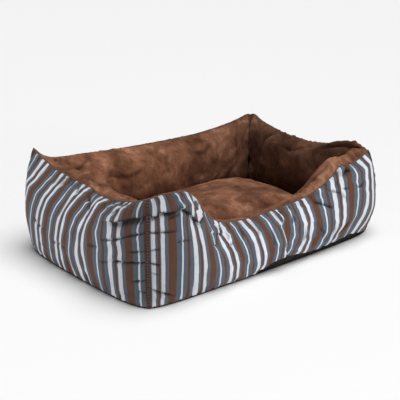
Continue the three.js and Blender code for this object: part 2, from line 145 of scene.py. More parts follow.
# ------------------------------------------------------------------ how the striped cloth hangs
# a = distance along the wall from the near corner (mm), v = share of the cloth's height, foot 0 to seam 1.
# DRIFT: how far the stripes have slid along the wall (mm), one row per level v.
LEFT_A = [0, -20, -40, -60, -80, -100, -120, -140, -160, -180, -200, -220, -240, -280, -320, -360, -400, -440]
LEFT_DRIFT = [
    (0.04, [0, 0, 1, 6, 10, 15, 22, 21, 21, 24, 25, 26, 28, 29, 27, 26, 25, 24]),
    (0.30, [0, -1, 0, 2, 7, 11, 17, 20, 22, 24, 28, 31, 25, 15, 8, 5, 4, 3]),
    (0.50, [0, -2, -1, 2, 7, 11, 16, 19, 22, 28, 27, 25, 16, 5, -2, -6, -8, -8]),
    (0.66, [1, 2, 2, 8, 13, 19, 26, 32, 36, 31, 24, 15, 12, -3, -7, -15, -18, -20]),
    (0.82, [0, 4, 9, 17, 25, 32, 38, 39, 34, 24, 13, 1, -1, -10, -21, -29, -42, -50]),
    (0.90, [0, 4, 11, 17, 28, 26, 30, 30, 27, 22, -2, -7, -10, -12, -28, -36, -44, -50]),
    (1.00, [0, 4, 10, 12, 0, -4, -6, 0, 4, 2, -10, -20, -20, -25, -28, -37, -45, -50]),
]
FRONT_A = [0, 20, 40, 60, 75, 90, 105, 120, 135, 150, 165, 180, 195, 210, 225, 240, 270, 300, 330, 360]
FRONT_DRIFT = [
    (0.04, [0, 3, 5, 2, 0, -2, -4, -6, -9, -10, -11, -12, -13, -11, -8, -3, 6, 14, 30, 45]),
    (0.25, [0, 3, 5, 4, 3, 2, 0, -2, -3, -4, -5, -6, -5, -3, -1, 5, 9, 14, 24, 36]),
    (0.50, [0, 3, 5, 3, 2, 2, 2, 1, 2, 1, 1, 0, -2, -2, 0, 8, 11, 11, 14, 18]),
    (0.62, [1, 3, 4, 3, 0, 1, 4, 7, 3, 8, 12, 7, 6, 5, 3, 8, 13, 11, 13, 15]),
    (0.70, [1, 3, 3, 0, -1, 2, 7, 9, 4, 2, 8, 4, 12, 10, 0, 9, 13, 11, 12, 14]),
    (0.76, [1, 3, 3, 1, -2, -1, 6, 10, 4, 0, -1, -3, 18, 12, -1, 9, 14, 12, 12, 13]),
    (0.82, [0, 2, 0, -3, -5, -8, -3, 4, -2, -2, 1, 2, 12, 10, 2, 10, 15, 13, 12, 13]),
    (0.87, [0, 2, -2, -4, -10, -13, -8, -6, -8, -8, 2, 4, 8, 8, 4, 11, 15, 13, 12, 13]),
    (0.93, [0, 0, -2, -3, -4, -6, 0, 3, -12, -16, 4, 6, 2, 4, 6, 10, 15, 13, 12, 13]),
    (1.00, [0, 3, 0, 1, 1, 2, 3, 3, -2, -24, 4, 6, -2, -2, 7, 10, 15, 13, 12, 13]),
]
# the same wall beyond the tuck, where the cloth comes out from underneath
BEYOND_A = [350, 400, 440, 480, 520, 560, 600, 620, 640, 690]
BEYOND_DRIFT = [
    (0.10, [92, 84, 78, 74, 72, 70, 70, 66, 60, 56]),
    (0.25, [80, 78, 72, 68, 70, 70, 68, 60, 52, 48]),
    (0.38, [68, 64, 62, 56, 58, 56, 58, 55, 46, 44]),
    (0.50, [58, 55, 55, 53, 54, 51, 50, 48, 45, 43]),
    (0.62, [48, 47, 48, 49, 48, 46, 43, 43, 43, 42]),
    (0.74, [36, 39, 43, 44, 42, 39, 35, 32, 34, 36]),
    (0.86, [28, 31, 37, 36, 35, 31, 26, 23, 22, 24]),
    (0.98, [24, 26, 28, 31, 24, 20, 19, 23, 28, 31]),
]
# the tuck: level, where it lies, width of the cloth folded away
TUCK = [(0.0, 352, 20), (0.28, 355, 20), (0.45, 358, 19), (0.57, 365, 15), (0.66, 380, 8), (0.71, 388, 2.5), (0.78, 392, 0), (1.0, 392, 0)]
# where the striped cloth of the front wall ends above the floor (share of its height)
HEM = [(285, 0.0), (298, 0.012), (306, 0.06), (316, 0.125), (333, 0.18), (350, 0.235), (360, 0.225), (385, 0.19), (413, 0.165), (440, 0.14), (470, 0.12), (513, 0.11), (560, 0.10), (610, 0.09), (640, 0.06), (662, 0.02), (690, 0.0)]
# folds: kind, points (a, v), depth, width
LEFT_FOLDS = [
    ("ledge", [(-118, 0.775), (-100, 0.79), (-75, 0.82), (-47, 0.855), (-27, 0.87), (0, 0.885)], 9.0, 7.5, 0.2, 1.0),
    ("groove", [(-117, 0.59), (-101, 0.607), (-75, 0.632), (-47, 0.674), (-21, 0.704), (0, 0.726)], 4.6, 3.0, 0.4, 1.0),
    ("groove", [(-40, 0.54), (-15, 0.553), (0, 0.558)], 3.0, 2.6, 0.3, 1.0),
    ("groove", [(-88, 0.425), (-55, 0.4375), (-35, 0.447), (0, 0.454)], 5.0, 3.2, 0.3, 1.0),
    ("groove", [(-33, 0.267), (-7, 0.278), (0, 0.282)], 3.6, 3.0, 0.3, 1.0),
    ("groove", [(-167, 0.486), (-150, 0.502), (-132, 0.507)], 1.8, 3.0, 0.3, 0.3),
    ("groove", [(-125, 0.38), (-108, 0.384), (-96, 0.40)], 1.6, 3.0, 0.3, 0.3),
    ("groove", [(-24, 0.17), (0, 0.14)], 3.0, 3.0, 0.2, 1.0),
    ("ledge", [(-118, 0.87), (-103, 0.885), (-92, 0.90)], 3.0, 4.0, 0.2, 0.3),
    ("groove", [(-215, 0.93), (-200, 0.86), (-192, 0.78)], 3.0, 4.0, 0.5, 0.2),
    ("groove", [(-262, 0.95), (-254, 0.88), (-250, 0.82)], 2.4, 3.6, 0.5, 0.2),
    ("groove", [(-318, 0.96), (-312, 0.88), (-310, 0.80)], 2.4, 3.6, 0.5, 0.2),
    ("groove", [(-160, 0.97), (-152, 0.92), (-149, 0.86)], 2.2, 3.4, 0.5, 0.2),
    ("groove", [(-300, 0.30), (-270, 0.33), (-240, 0.31)], 1.6, 4.0, 0.3, 0.3),
    ("groove", [(-380, 0.45), (-350, 0.40), (-322, 0.40)], 1.8, 4.0, 0.3, 0.3),
]
FRONT_FOLDS = [
    ("ledge", [(0, 0.885), (13, 0.878), (27, 0.872), (55, 0.866), (84, 0.862)], 9.0, 6.0, 1.0, 0.3),
    ("groove", [(43, 0.785), (60, 0.795), (76, 0.80), (86, 0.845)], 3.0, 3.0, 0.2, 0.4),
    ("groove", [(0, 0.72), (13, 0.705), (27, 0.692), (63, 0.672)], 4.4, 3.0, 1.0, 0.3),
    ("groove", [(0, 0.555), (14, 0.56), (30, 0.55)], 2.4, 2.6, 1.0, 0.2),
    ("groove", [(58, 0.58), (80, 0.578), (101, 0.572)], 2.0, 2.6, 0.3, 0.3),
    ("groove", [(0, 0.45), (13, 0.43), (28, 0.41)], 3.4, 2.8, 1.0, 0.2),
    ("groove", [(0, 0.36), (13, 0.34), (22, 0.33)], 2.0, 2.6, 1.0, 0.2),
    ("groove", [(0, 0.20), (12, 0.175), (26, 0.15), (44, 0.112), (58, 0.08)], 5.0, 3.4, 0.7, 0.2),
    ("ledge", [(84, 0.862), (98, 0.82), (112, 0.765), (124, 0.735)], 5.0, 4.0, 0.5, 0.2),
    ("ledge", [(118, 0.765), (128, 0.80), (140, 0.87), (154, 0.97)], 4.0, 4.0, 0.5, 0.6),
    ("ledge", [(158, 0.585), (164, 0.64), (172, 0.72), (180, 0.79)], 4.5, 4.0, 0.2, 0.4),
    ("ledge", [(184, 0.77), (192, 0.82), (203, 0.90), (214, 1.0)], 3.5, 4.0, 0.2, 0.6),
    ("groove", [(206, 0.60), (217, 0.62), (226, 0.66)], 2.4, 3.0, 0.3, 0.3),
    ("groove", [(216, 0.70), (222, 0.77), (219, 0.86)], 1.8, 3.4, 0.3, 0.3),
    ("groove", [(255, 0.66), (262, 0.76), (266, 0.9)], 1.6, 4.0, 0.3, 0.5),
    ("groove", [(300, 0.62), (308, 0.74), (306, 0.9)], 1.8, 4.0, 0.3, 0.5),
    ("groove", [(330, 0.40), (337, 0.52), (345, 0.66)], 2.0, 4.0, 0.3, 0.3),
    ("groove", [(404, 0.62), (413, 0.72), (414, 0.85)], 2.6, 3.6, 0.2, 0.4),
    ("groove", [(405, 0.33), (425, 0.40), (432, 0.52)], 2.2, 4.0, 0.2, 0.2),
    ("groove", [(486, 0.88), (500, 0.78), (513, 0.69), (526, 0.60)], 4.2, 4.2, 0.2, 0.2),
    ("groove", [(530, 0.90), (541, 0.82), (553, 0.74), (560, 0.62)], 2.6, 3.6, 0.2, 0.2),
    ("groove", [(563, 0.755), (573, 0.72)], 2.4, 3.0, 0.3, 0.3),
    ("groove", [(580, 0.88), (594, 0.925), (606, 0.90)], 6.0, 6.0, 0.5, 0.5),
    ("groove", [(598, 0.70), (612, 0.70), (630, 0.74)], 2.4, 3.0, 0.2, 0.4),
    ("groove", [(470, 0.46), (482, 0.36), (476, 0.27)], 2.2, 4.0, 0.2, 0.3),
    ("groove", [(520, 0.38), (508, 0.30), (490, 0.24)], 2.0, 4.0, 0.2, 0.3),
    ("groove", [(560, 0.36), (545, 0.28), (528, 0.22)], 2.0, 4.0, 0.2, 0.3),
]


# the same for the suede, in mm from the wall's first corner and from the ridge
INNER_FOLDS = dict(
    right=[("groove", [(4, -30), (30, -40), (64, -50), (100, -54)], 7.0, 6.0, 0.9, 0.2),
           ("groove", [(170, -50), (215, -66), (260, -60)], 3.0, 6.0, 0.2, 0.2),
           ("groove", [(300, -30), (340, -62), (350, -110)], 3.4, 6.0, 0.3, 0.2)],
    back=[("groove", [(60, -30), (85, -70), (75, -120)], 3.4, 7.0, 0.3, 0.2),
          ("groove", [(170, -60), (215, -80), (260, -72)], 3.0, 7.0, 0.2, 0.2),
          ("groove", [(330, -40), (352, -80), (345, -130)], 3.0, 7.0, 0.2, 0.2),
          ("groove", [(430, -90), (480, -104), (540, -96)], 3.2, 7.0, 0.2, 0.2),
          ("groove", [(560, -34), (610, -60), (650, -52)], 4.0, 5.0, 0.3, 0.6),
          ("groove", [(600, -16), (640, -22), (676, -14)], 5.0, 4.0, 0.3, 0.9)],
    left=[("groove", [(30, -18), (60, -22), (96, -20)], 3.5, 4.0, 0.6, 0.2),
          ("groove", [(190, -16), (230, -20), (270, -16)], 3.0, 4.0, 0.3, 0.3)],
    front=[("groove", [(470, -24), (520, -30), (575, -26)], 3.4, 4.0, 0.3, 0.3),
           ("groove", [(500, -44), (550, -56), (610, -50), (660, -36)], 4.5, 5.0, 0.3, 0.8)],
)


def drift(knots, rows, a, v):
    """Stripe drift at (a, v), smooth along the wall and between the levels."""
    cols = np.stack([table(list(zip(knots, r)) if knots[0] < knots[-1] else list(zip(knots[::-1], r[::-1])), a) for _, r in rows])
    lv = [r[0] for r in rows]
    i = np.clip(np.searchsorted(lv, v, side="right") - 1, 0, len(lv) - 2)
    t = np.clip((v - np.array(lv)[i]) / (np.array(lv)[i + 1] - np.array(lv)[i]), 0, 1)
    t = t * t * (3 - 2 * t) * 0.6 + t * 0.4
    pick = lambda j: np.take_along_axis(cols, j[None], 0)[0]
    return pick(i) * (1 - t) + pick(i + 1) * t


def bilinear(P, ci, vi):
    """Point of the grid P at fractional column ci and row vi."""
    i = np.clip(np.floor(ci).astype(int), 0, P.shape[0] - 2)
    j = np.clip(np.floor(vi).astype(int), 0, P.shape[1] - 2)
    f, g = (ci - i)[..., None], (vi - j)[..., None]
    return (P[i, j] * (1 - f) + P[i + 1, j] * f) * (1 - g) + (P[i, j + 1] * (1 - f) + P[i + 1, j + 1] * f) * g


def fold(P, N, X, Y, kind, line, depth, width, e0, e1):
    """Moves the points of P for one fold along line (X, Y in mm on the cloth) and returns the painted shade that
    darkens the cloth colour along it; e0 and e1 are its strength at the ends.
    """
    line = np.asarray(line, float)
    seg = np.linalg.norm(np.diff(line, axis=0), axis=1)
    run = np.concatenate([[0], np.cumsum(seg)])
    best, side, at = np.full(X.shape, 1e9), np.zeros(X.shape), np.zeros(X.shape)
    for k in range(len(seg)):
        d = (line[k + 1] - line[k]) / seg[k]
        px, py = X - line[k, 0], Y - line[k, 1]
        t = np.clip(px * d[0] + py * d[1], 0, seg[k])
        qx, qy = px - t * d[0], py - t * d[1]
        r = np.hypot(qx, qy)
        m = r < best
        best = np.where(m, r, best)
        side = np.where(m, np.sign(d[0] * qy - d[1] * qx), side)
        at = np.where(m, run[k] + t, at)
    q = at / run[-1]
    mid = np.minimum(1, np.minimum(q, 1 - q) / 0.3)
    amp = np.where(q < 0.5, e0 + (1 - e0) * step(mid), e1 + (1 - e1) * step(mid)) * (0.85 + 0.15 * np.sin(at / 7.0))
    x = best
    if kind == "groove":
        depth, width = depth * 1.35, width * 0.8
        # painted shade along the groove, for darkening the cloth colour
        shade = np.exp(-((x / (1.25 * width)) ** 2)) * amp * min(1.0, depth / 4.5)
        d = -np.exp(-((x / width) ** 2)) + 0.22 * np.exp(-(((x - 3.0 * width) / (2.2 * width)) ** 2))
        P += N * (d * depth * amp)[..., None]
        P[..., 2] -= np.where(side > 0, 0.25, -0.1) * depth * amp * np.exp(-((x / (2.0 * width)) ** 2))
    else:
        up = side > 0
        depth = depth * 1.2
        # painted shade under the ledge, for darkening the cloth colour
        shade = np.where(up, np.exp(-((x / (0.35 * width)) ** 2)), np.exp(-(((x - 0.4 * width) / (1.5 * width)) ** 2))) * amp * min(1.0, depth / 6.0)
        d = np.where(up, 0.75 * np.exp(-((x / (3.2 * width)) ** 2)), -0.9 * np.exp(-(((x - 0.6 * width) / (1.6 * width)) ** 2)))
        P += N * (d * depth * amp)[..., None]
        P[..., 2] -= np.where(up, 0.85 * np.exp(-((x / (1.5 * width)) ** 2)), 0.0) * depth * amp
    return shade


# ------------------------------------------------------------------ helpers
def noise3(p, scale, seed):
    """Smooth value noise of points p (mm), one value per point, about -1 to 1."""
    q = p / scale + np.array([seed * 17.3, seed * 5.7, seed * 11.1])
    i = np.floor(q).astype(np.int64)
    f = q - i
    f = f * f * (3 - 2 * f)

    def h(ix, iy, iz):
        n = (ix * 374761393 + iy * 668265263 + iz * 2147483647 + seed * 974711) & 0xFFFFFFFF
        n = ((n ^ (n >> 13)) * 1274126177) & 0xFFFFFFFF
        return ((n ^ (n >> 16)) & 0xFFFF) / 32767.5 - 1

    r = 0
    for dx in (0, 1):
        for dy in (0, 1):
            for dz in (0, 1):
                wgt = (f[..., 0] if dx else 1 - f[..., 0]) * (f[..., 1] if dy else 1 - f[..., 1]) * (f[..., 2] if dz else 1 - f[..., 2])
                r = r + wgt * h(i[..., 0] + dx, i[..., 1] + dy, i[..., 2] + dz)
    return r


def faces_grid(nu, nv, off=0, wrap=False):
    i, j = np.meshgrid(np.arange(nu if wrap else nu - 1), np.arange(nv - 1), indexing="ij")
    k = (i + 1) % nu
    return np.stack([off + i * nv + j, off + k * nv + j, off + k * nv + j + 1, off + i * nv + j + 1], -1).reshape(-1, 4)


def mesh_object(name, verts, faces, attrs=None, smooth=True):
    me = bpy.data.meshes.new(name)
    me.from_pydata((np.asarray(verts).reshape(-1, 3) * MM).tolist(), [], [list(map(int, f)) for f in faces])
    for key, val in (attrs or {}).items():
        at = me.attributes.new(key, "FLOAT_VECTOR", "POINT")
        at.data.foreach_set("vector", np.asarray(val, np.float32).reshape(-1))
    if smooth:
        me.polygons.foreach_set("use_smooth", [True] * len(me.polygons))
    me.update()
    ob = bpy.data.objects.new(name, me)
    scene.collection.objects.link(ob)
    return ob


def grid_normals(P):
    a = np.gradient(P, axis=0)
    b = np.gradient(P, axis=1)
    n = np.cross(a, b)
    return n / np.maximum(np.linalg.norm(n, axis=-1, keepdims=True), 1e-9)


def up2(P, axis):
    P = np.moveaxis(P, axis, 0)
    n = P.shape[0]
    ext = np.concatenate([2 * P[:1] - P[1:2], P, 2 * P[-1:] - P[-2:-1]])
    mid = (-ext[:-3] + 9 * ext[1:-2] + 9 * ext[2:-1] - ext[3:]) / 16
    out = np.empty((2 * n - 1,) + P.shape[1:])
    out[0::2], out[1::2] = P, mid
    return np.moveaxis(out, 0, axis)


def simulate(ob, frames=20, pressure=4.0, pin=None, full=None, grow=(0.0, 0.0), tension=15.0, bending=0.5, mass=0.3, damping=1.0, cap=14.0):
    """Runs Blender's cloth on ob with its pinned points held, and returns the points in mm."""
    n = len(ob.data.vertices)
    start = np.empty(n * 3)
    ob.data.vertices.foreach_get("co", start)
    start = start.reshape(-1, 3) / MM
    for key, w in (("pin", pin), ("full", full)):
        if w is not None:
            vg = ob.vertex_groups.new(name=key)
            lv = np.round(np.clip(w, 0, 1) * 20) / 20
            for val in np.unique(lv):
                if val > 0:
                    vg.add(np.nonzero(lv == val)[0].tolist(), float(val), "REPLACE")
    m = ob.modifiers.new("Cloth", "CLOTH")
    s = m.settings
    s.quality = 5
    s.mass = mass
    s.tension_stiffness = s.compression_stiffness = tension
    s.shear_stiffness = tension * 0.4
    s.bending_stiffness = bending
    s.tension_damping = s.compression_damping = s.shear_damping = 5.0
    s.bending_damping = 0.5
    s.air_damping = damping
    s.use_pressure = True
    s.uniform_pressure_force = pressure
    s.effector_weights.gravity = 0.0
    if pin is not None:
        s.vertex_group_mass = "pin"
        s.pin_stiffness = 1.0
    if full is not None:
        s.vertex_group_shrink = "full"
        s.shrink_min, s.shrink_max = -grow[0], -grow[1]
    m.collision_settings.use_collision = False
    m.collision_settings.use_self_collision = False
    m.point_cache.frame_start, m.point_cache.frame_end = 1, frames
    for f in range(1, frames + 1):
        scene.frame_set(f)
    ev = ob.evaluated_get(bpy.context.evaluated_depsgraph_get())
    me = ev.to_mesh()
    co = np.empty(len(me.vertices) * 3)
    me.vertices.foreach_get("co", co)
    co = co.reshape(-1, 3) / MM
    ev.to_mesh_clear()
    ob.modifiers.remove(m)
    scene.frame_set(1)
    move = co - start
    if not np.isfinite(move).all():
        move[:] = 0
    l = np.linalg.norm(move, axis=1, keepdims=True)
    move *= np.where(l > 1e-9, cap * np.tanh(l / cap) / np.maximum(l, 1e-9), 1)
    return start + move


# ------------------------------------------------------------------ materials
def new_material(name):
    m = bpy.data.materials.new(name)
    m.use_nodes = True
    nt = m.node_tree
    b = nt.nodes["Principled BSDF"]
    return m, nt, b


def node(nt, kind, **kw):
    n = nt.nodes.new(kind)
    for k, v in kw.items():
        if k in n.inputs.keys() if isinstance(k, str) else False:
            n.inputs[k].default_value = v
        else:
            setattr(n, k, v)
    return n


def math_node(nt, op, a, b=None, c=None, clamp=False):
    n = nt.nodes.new("ShaderNodeMath")
    n.operation = op
    n.use_clamp = clamp
    for i, v in enumerate((a, b, c)):
        if v is None:
            continue
        if isinstance(v, (int, float)):
            n.inputs[i].default_value = v
        else:
            nt.links.new(v, n.inputs[i])
    return n.outputs[0]


def vec_scale(nt, vec, s):
    n = nt.nodes.new("ShaderNodeVectorMath")
    n.operation = "MULTIPLY"
    nt.links.new(vec, n.inputs[0])
    n.inputs[1].default_value = s
    return n.outputs[0]


def noise(nt, vec, scale, detail=3.0, rough=0.5, distortion=0.0):
    n = nt.nodes.new("ShaderNodeTexNoise")
    n.inputs["Scale"].default_value = scale
    n.inputs["Detail"].default_value = detail
    n.inputs["Roughness"].default_value = rough
    n.inputs["Distortion"].default_value = distortion
    nt.links.new(vec, n.inputs["Vector"])
    return n.outputs["Fac"]


def ramp(nt, fac, stops, mode="LINEAR"):
    n = nt.nodes.new("ShaderNodeValToRGB")
    n.color_ramp.interpolation = mode
    e = n.color_ramp.elements
    while len(e) > 1:
        e.remove(e[0])
    e[0].position, e[0].color = stops[0][0], (*stops[0][1], 1)
    for pos, col in stops[1:]:
        x = e.new(pos)
        x.color = (*col, 1)
    nt.links.new(fac, n.inputs[0])
    return n.outputs[0]


def mix(nt, fac, a, b, mode="MIX"):
    n = nt.nodes.new("ShaderNodeMix")
    n.data_type = "RGBA"
    n.blend_type = mode
    for sock, v in ((n.inputs[0], fac), (n.inputs[6], a), (n.inputs[7], b)):
        if isinstance(v, (int, float)):
            sock.default_value = v
        elif isinstance(v, tuple):
            sock.default_value = (*v, 1)
        else:
            nt.links.new(v, sock)
    return n.outputs[2]


def bump(nt, height, strength, dist, normal=None):
    n = nt.nodes.new("ShaderNodeBump")
    n.inputs["Strength"].default_value = strength
    n.inputs["Distance"].default_value = dist
    nt.links.new(height, n.inputs["Height"])
    if normal is not None:
        nt.links.new(normal, n.inputs["Normal"])
    return n.outputs[0]


def fabric_coord(nt):
    n = nt.nodes.new("ShaderNodeAttribute")
    n.attribute_type = "GEOMETRY"
    n.attribute_name = "fab"
    return n.outputs["Vector"]


def srgb(r, g, b, k=1.0):
    f = lambda c: ((c / 255 + 0.055) / 1.055) ** 2.4 if c > 10 else c / 255 / 12.92
    return (f(r) * k, f(g) * k, f(b) * k)


BROWN, GREY, WHITE = srgb(93, 58, 41), srgb(82, 93, 106), srgb(213, 215, 221)
REPEAT = [(BROWN, 16.5), (GREY, 10.5), (WHITE, 3.7), (GREY, 9.7), (BROWN, 6.2), (GREY, 8.5), (WHITE, 10.0), (GREY, 5.3), (BROWN, 4.6), (GREY, 2.3), (WHITE, 8.7), (GREY, 8.0)]
TOTAL = sum(w for _, w in REPEAT)
PHASE_A = 47.0  # place in the repeat at the near corner


def stripes_material():
    m, nt, b = new_material("striped_cloth")
    fab = fabric_coord(nt)
    sep = nt.nodes.new("ShaderNodeSeparateXYZ")
    nt.links.new(fab, sep.inputs[0])
    wob = noise(nt, vec_scale(nt, fab, (0.25, 0.05, 0)), 1.0, 2.0)
    s = math_node(nt, "ADD", sep.outputs[0], math_node(nt, "MULTIPLY", math_node(nt, "SUBTRACT", wob, 0.5), 0.9))
    fac = math_node(nt, "FRACT", math_node(nt, "DIVIDE", s, TOTAL))
    stops, x, soft = [], 0.0, 0.0035
    for i, (c, w) in enumerate(REPEAT):
        stops.append((x / TOTAL + (soft if i else 0), c))
        x += w
        stops.append((x / TOTAL - (soft if i < len(REPEAT) - 1 else 0), c))
    col = ramp(nt, fac, stops)
    # threads: long thin irregularities along and across the stripes
    warp = noise(nt, vec_scale(nt, fab, (0.9, 0.03, 0)), 1.0, 2.0, 0.6)
    weft = noise(nt, vec_scale(nt, fab, (0.05, 1.1, 0)), 1.0, 2.0, 0.6)
    fuzz = noise(nt, vec_scale(nt, fab, (0.035, 0.035, 0)), 1.0, 4.0, 0.6)
    thread = math_node(nt, "ADD", math_node(nt, "MULTIPLY", warp, 0.5), math_node(nt, "MULTIPLY", weft, 0.5))
    shade = math_node(nt, "ADD", math_node(nt, "MULTIPLY", math_node(nt, "SUBTRACT", thread, 0.5), 0.55), math_node(nt, "MULTIPLY", math_node(nt, "SUBTRACT", fuzz, 0.5), 0.35))
    # painted shade: the colour is darkened by the fold shade held in the third channel of fab
    painted_shade_factor = math_node(nt, "SUBTRACT", 1.0, math_node(nt, "MULTIPLY", math_node(nt, "MINIMUM", sep.outputs[2], 1.0), 0.88))
    val = math_node(nt, "MULTIPLY", math_node(nt, "ADD", shade, 1.0), painted_shade_factor)
    comb = nt.nodes.new("ShaderNodeCombineXYZ")
    for i in range(3):
        nt.links.new(val, comb.inputs[i])
    col = mix(nt, 1.0, col, comb.outputs[0], "MULTIPLY")
    nt.links.new(col, b.inputs["Base Color"])
    b.inputs["Roughness"].default_value = 0.86
    b.inputs["Specular IOR Level"].default_value = 0.25
    b.inputs["Sheen Weight"].default_value = 0.12
    b.inputs["Sheen Roughness"].default_value = 0.5
    nrm = bump(nt, thread, 0.45, 0.0006)
    nt.links.new(nrm, b.inputs["Normal"])
    return m


def suede_material(name="brown_suede", tint=1.0, seed=0.0, painted_light_ramp=None):
    m, nt, b = new_material(name)
    fab0 = fabric_coord(nt)
    off = nt.nodes.new("ShaderNodeVectorMath")
    off.operation = "ADD"
    nt.links.new(fab0, off.inputs[0])
    off.inputs[1].default_value = (seed, seed * 0.7, 0)
    fab = off.outputs[0]
    big = noise(nt, vec_scale(nt, fab, (0.011, 0.015, 0)), 1.0, 2.0, 0.5, 0.4)
    patch = noise(nt, vec_scale(nt, fab, (0.034, 0.042, 0)), 1.0, 3.0, 0.55, 0.5)
    brush = noise(nt, vec_scale(nt, fab, (0.13, 0.10, 0)), 1.0, 3.0, 0.6, 0.6)
    fine = noise(nt, vec_scale(nt, fab, (0.6, 0.6, 0)), 1.0, 2.0, 0.7)
    v = math_node(nt, "ADD", math_node(nt, "MULTIPLY", big, 0.52), math_node(nt, "ADD", math_node(nt, "MULTIPLY", patch, 0.36), math_node(nt, "MULTIPLY", brush, 0.12)))
    v = math_node(nt, "ADD", math_node(nt, "MULTIPLY", math_node(nt, "SUBTRACT", v, 0.5), 2.9), 0.5, clamp=True)
    v = math_node(nt, "ADD", math_node(nt, "MULTIPLY", v, 0.88), math_node(nt, "MULTIPLY", fine, 0.12))
    k = tint
    col = ramp(nt, v, [(0.08, srgb(66, 40, 28, k)), (0.38, srgb(104, 67, 49, k)), (0.62, srgb(132, 90, 68, k)), (0.92, srgb(174, 128, 103, k))])
    sep = nt.nodes.new("ShaderNodeSeparateXYZ")
    nt.links.new(fab0, sep.inputs[0])
    # painted shade: the suede colour is darkened by the fold shade held in the third channel of fab
    painted_shade_factor = math_node(nt, "SUBTRACT", 1.0, math_node(nt, "MULTIPLY", math_node(nt, "MINIMUM", sep.outputs[2], 1.0), 0.55))
    if painted_light_ramp:  # painted light and shade: the colour runs from darker at one end of the panel to lighter at the other
        s0, s1, g0, g1 = painted_light_ramp
        along = math_node(nt, "DIVIDE", math_node(nt, "SUBTRACT", sep.outputs[0], s0), s1 - s0, clamp=True)
        painted_shade_factor = math_node(nt, "MULTIPLY", painted_shade_factor, math_node(nt, "ADD", math_node(nt, "MULTIPLY", along, g1 - g0), g0))
    comb = nt.nodes.new("ShaderNodeCombineXYZ")
    for i in range(3):
        nt.links.new(painted_shade_factor, comb.inputs[i])
    col = mix(nt, 1.0, col, comb.outputs[0], "MULTIPLY")
    nt.links.new(col, b.inputs["Base Color"])
    b.inputs["Roughness"].default_value = 0.95
    b.inputs["Specular IOR Level"].default_value = 0.12
    b.inputs["Sheen Weight"].default_value = 0.3
    b.inputs["Sheen Roughness"].default_value = 0.45
    b.inputs["Sheen Tint"].default_value = (*srgb(190, 150, 125), 1)
    h = math_node(nt, "ADD", math_node(nt, "MULTIPLY", brush, 1.6), math_node(nt, "MULTIPLY", fine, 0.4))
    nt.links.new(bump(nt, h, 0.6, 0.0016), b.inputs["Normal"])
    return m


def thread_material(name="brown_thread", col=(70, 46, 35), period=3.2):
    m, nt, b = new_material(name)
    fab = fabric_coord(nt)
    sep = nt.nodes.new("ShaderNodeSeparateXYZ")
    nt.links.new(fab, sep.inputs[0])
    ph = math_node(nt, "MULTIPLY", math_node(nt, "ADD", sep.outputs[0], math_node(nt, "MULTIPLY", sep.outputs[1], 0.5)), 2 * math.pi / period)
    w = math_node(nt, "ADD", math_node(nt, "MULTIPLY", math_node(nt, "SINE", ph), 0.5), 0.5)
    n = noise(nt, vec_scale(nt, fab, (0.4, 0.8, 0.8)), 1.0, 3.0, 0.6)
    v = math_node(nt, "ADD", math_node(nt, "MULTIPLY", w, 0.6), math_node(nt, "MULTIPLY", n, 0.4))
    c = ramp(nt, v, [(0.1, srgb(*[x * 0.35 for x in col])), (0.5, srgb(*col)), (0.95, srgb(*[min(255, x * 1.45) for x in col]))])
    nt.links.new(c, b.inputs["Base Color"])
    b.inputs["Roughness"].default_value = 0.8
    b.inputs["Specular IOR Level"].default_value = 0.25
    b.inputs["Sheen Weight"].default_value = 0.2
    nt.links.new(bump(nt, v, 0.8, 0.0008), b.inputs["Normal"])
    return m


def plain_weave(name, c0, c1, rough=0.8, scale=0.9):
    m, nt, b = new_material(name)
    fab = fabric_coord(nt)
    a = noise(nt, vec_scale(nt, fab, (scale, scale * 0.05, 0)), 1.0, 2.0, 0.6)
    c = noise(nt, vec_scale(nt, fab, (scale * 0.05, scale, 0)), 1.0, 2.0, 0.6)
    v = math_node(nt, "MULTIPLY", math_node(nt, "ADD", a, c), 0.5)
    nt.links.new(ramp(nt, v, [(0.35, srgb(*c0)), (0.65, srgb(*c1))]), b.inputs["Base Color"])
    b.inputs["Roughness"].default_value = rough
    b.inputs["Specular IOR Level"].default_value = 0.3
    nt.links.new(bump(nt, v, 0.6, 0.0008), b.inputs["Normal"])
    return m


def fibre_material():
    m, nt, b = new_material("fibre_filling")
    co = nt.nodes.new("ShaderNodeTexCoord").outputs["Object"]
    a = noise(nt, co, 60.0, 6.0, 0.7, 1.5)
    nt.links.new(ramp(nt, a, [(0.3, srgb(205, 202, 194)), (0.7, srgb(244, 242, 236))]), b.inputs["Base Color"])
    b.inputs["Roughness"].default_value = 0.95
    nt.links.new(bump(nt, a, 0.7, 0.004), b.inputs["Normal"])
    return m


MAT_STRIPE = stripes_material()
MAT_SUEDE = suede_material()
# a copy of the suede at half brightness: painted shade for the right wall's inner panel
MAT_SUEDE_PAINTED_SHADE = suede_material("brown_suede_painted_shade", 0.5, 150.0)
MAT_SUEDE_CUSHION = suede_material("brown_suede_cushion", 1.05, 400.0)
MAT_THREAD = thread_material()
MAT_RIM_THREAD = thread_material("rim_thread", (96, 66, 51), 4.2)
MAT_CORNER_THREAD = thread_material("corner_thread", (66, 40, 29), 6.0)
MAT_DARK_THREAD = thread_material("dark_thread", (38, 28, 24))
MAT_BASE = plain_weave("dark_base_cloth", (22, 18, 17), (44, 38, 36))
MAT_FIBRE = fibre_material()


def finish_piece(ob, mat, slot, body, *nodes):
    ob.data.materials.clear()
    ob.data.materials.append(mat)
    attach(ob, body)
    if nodes:
        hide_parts(*nodes)
    return ob


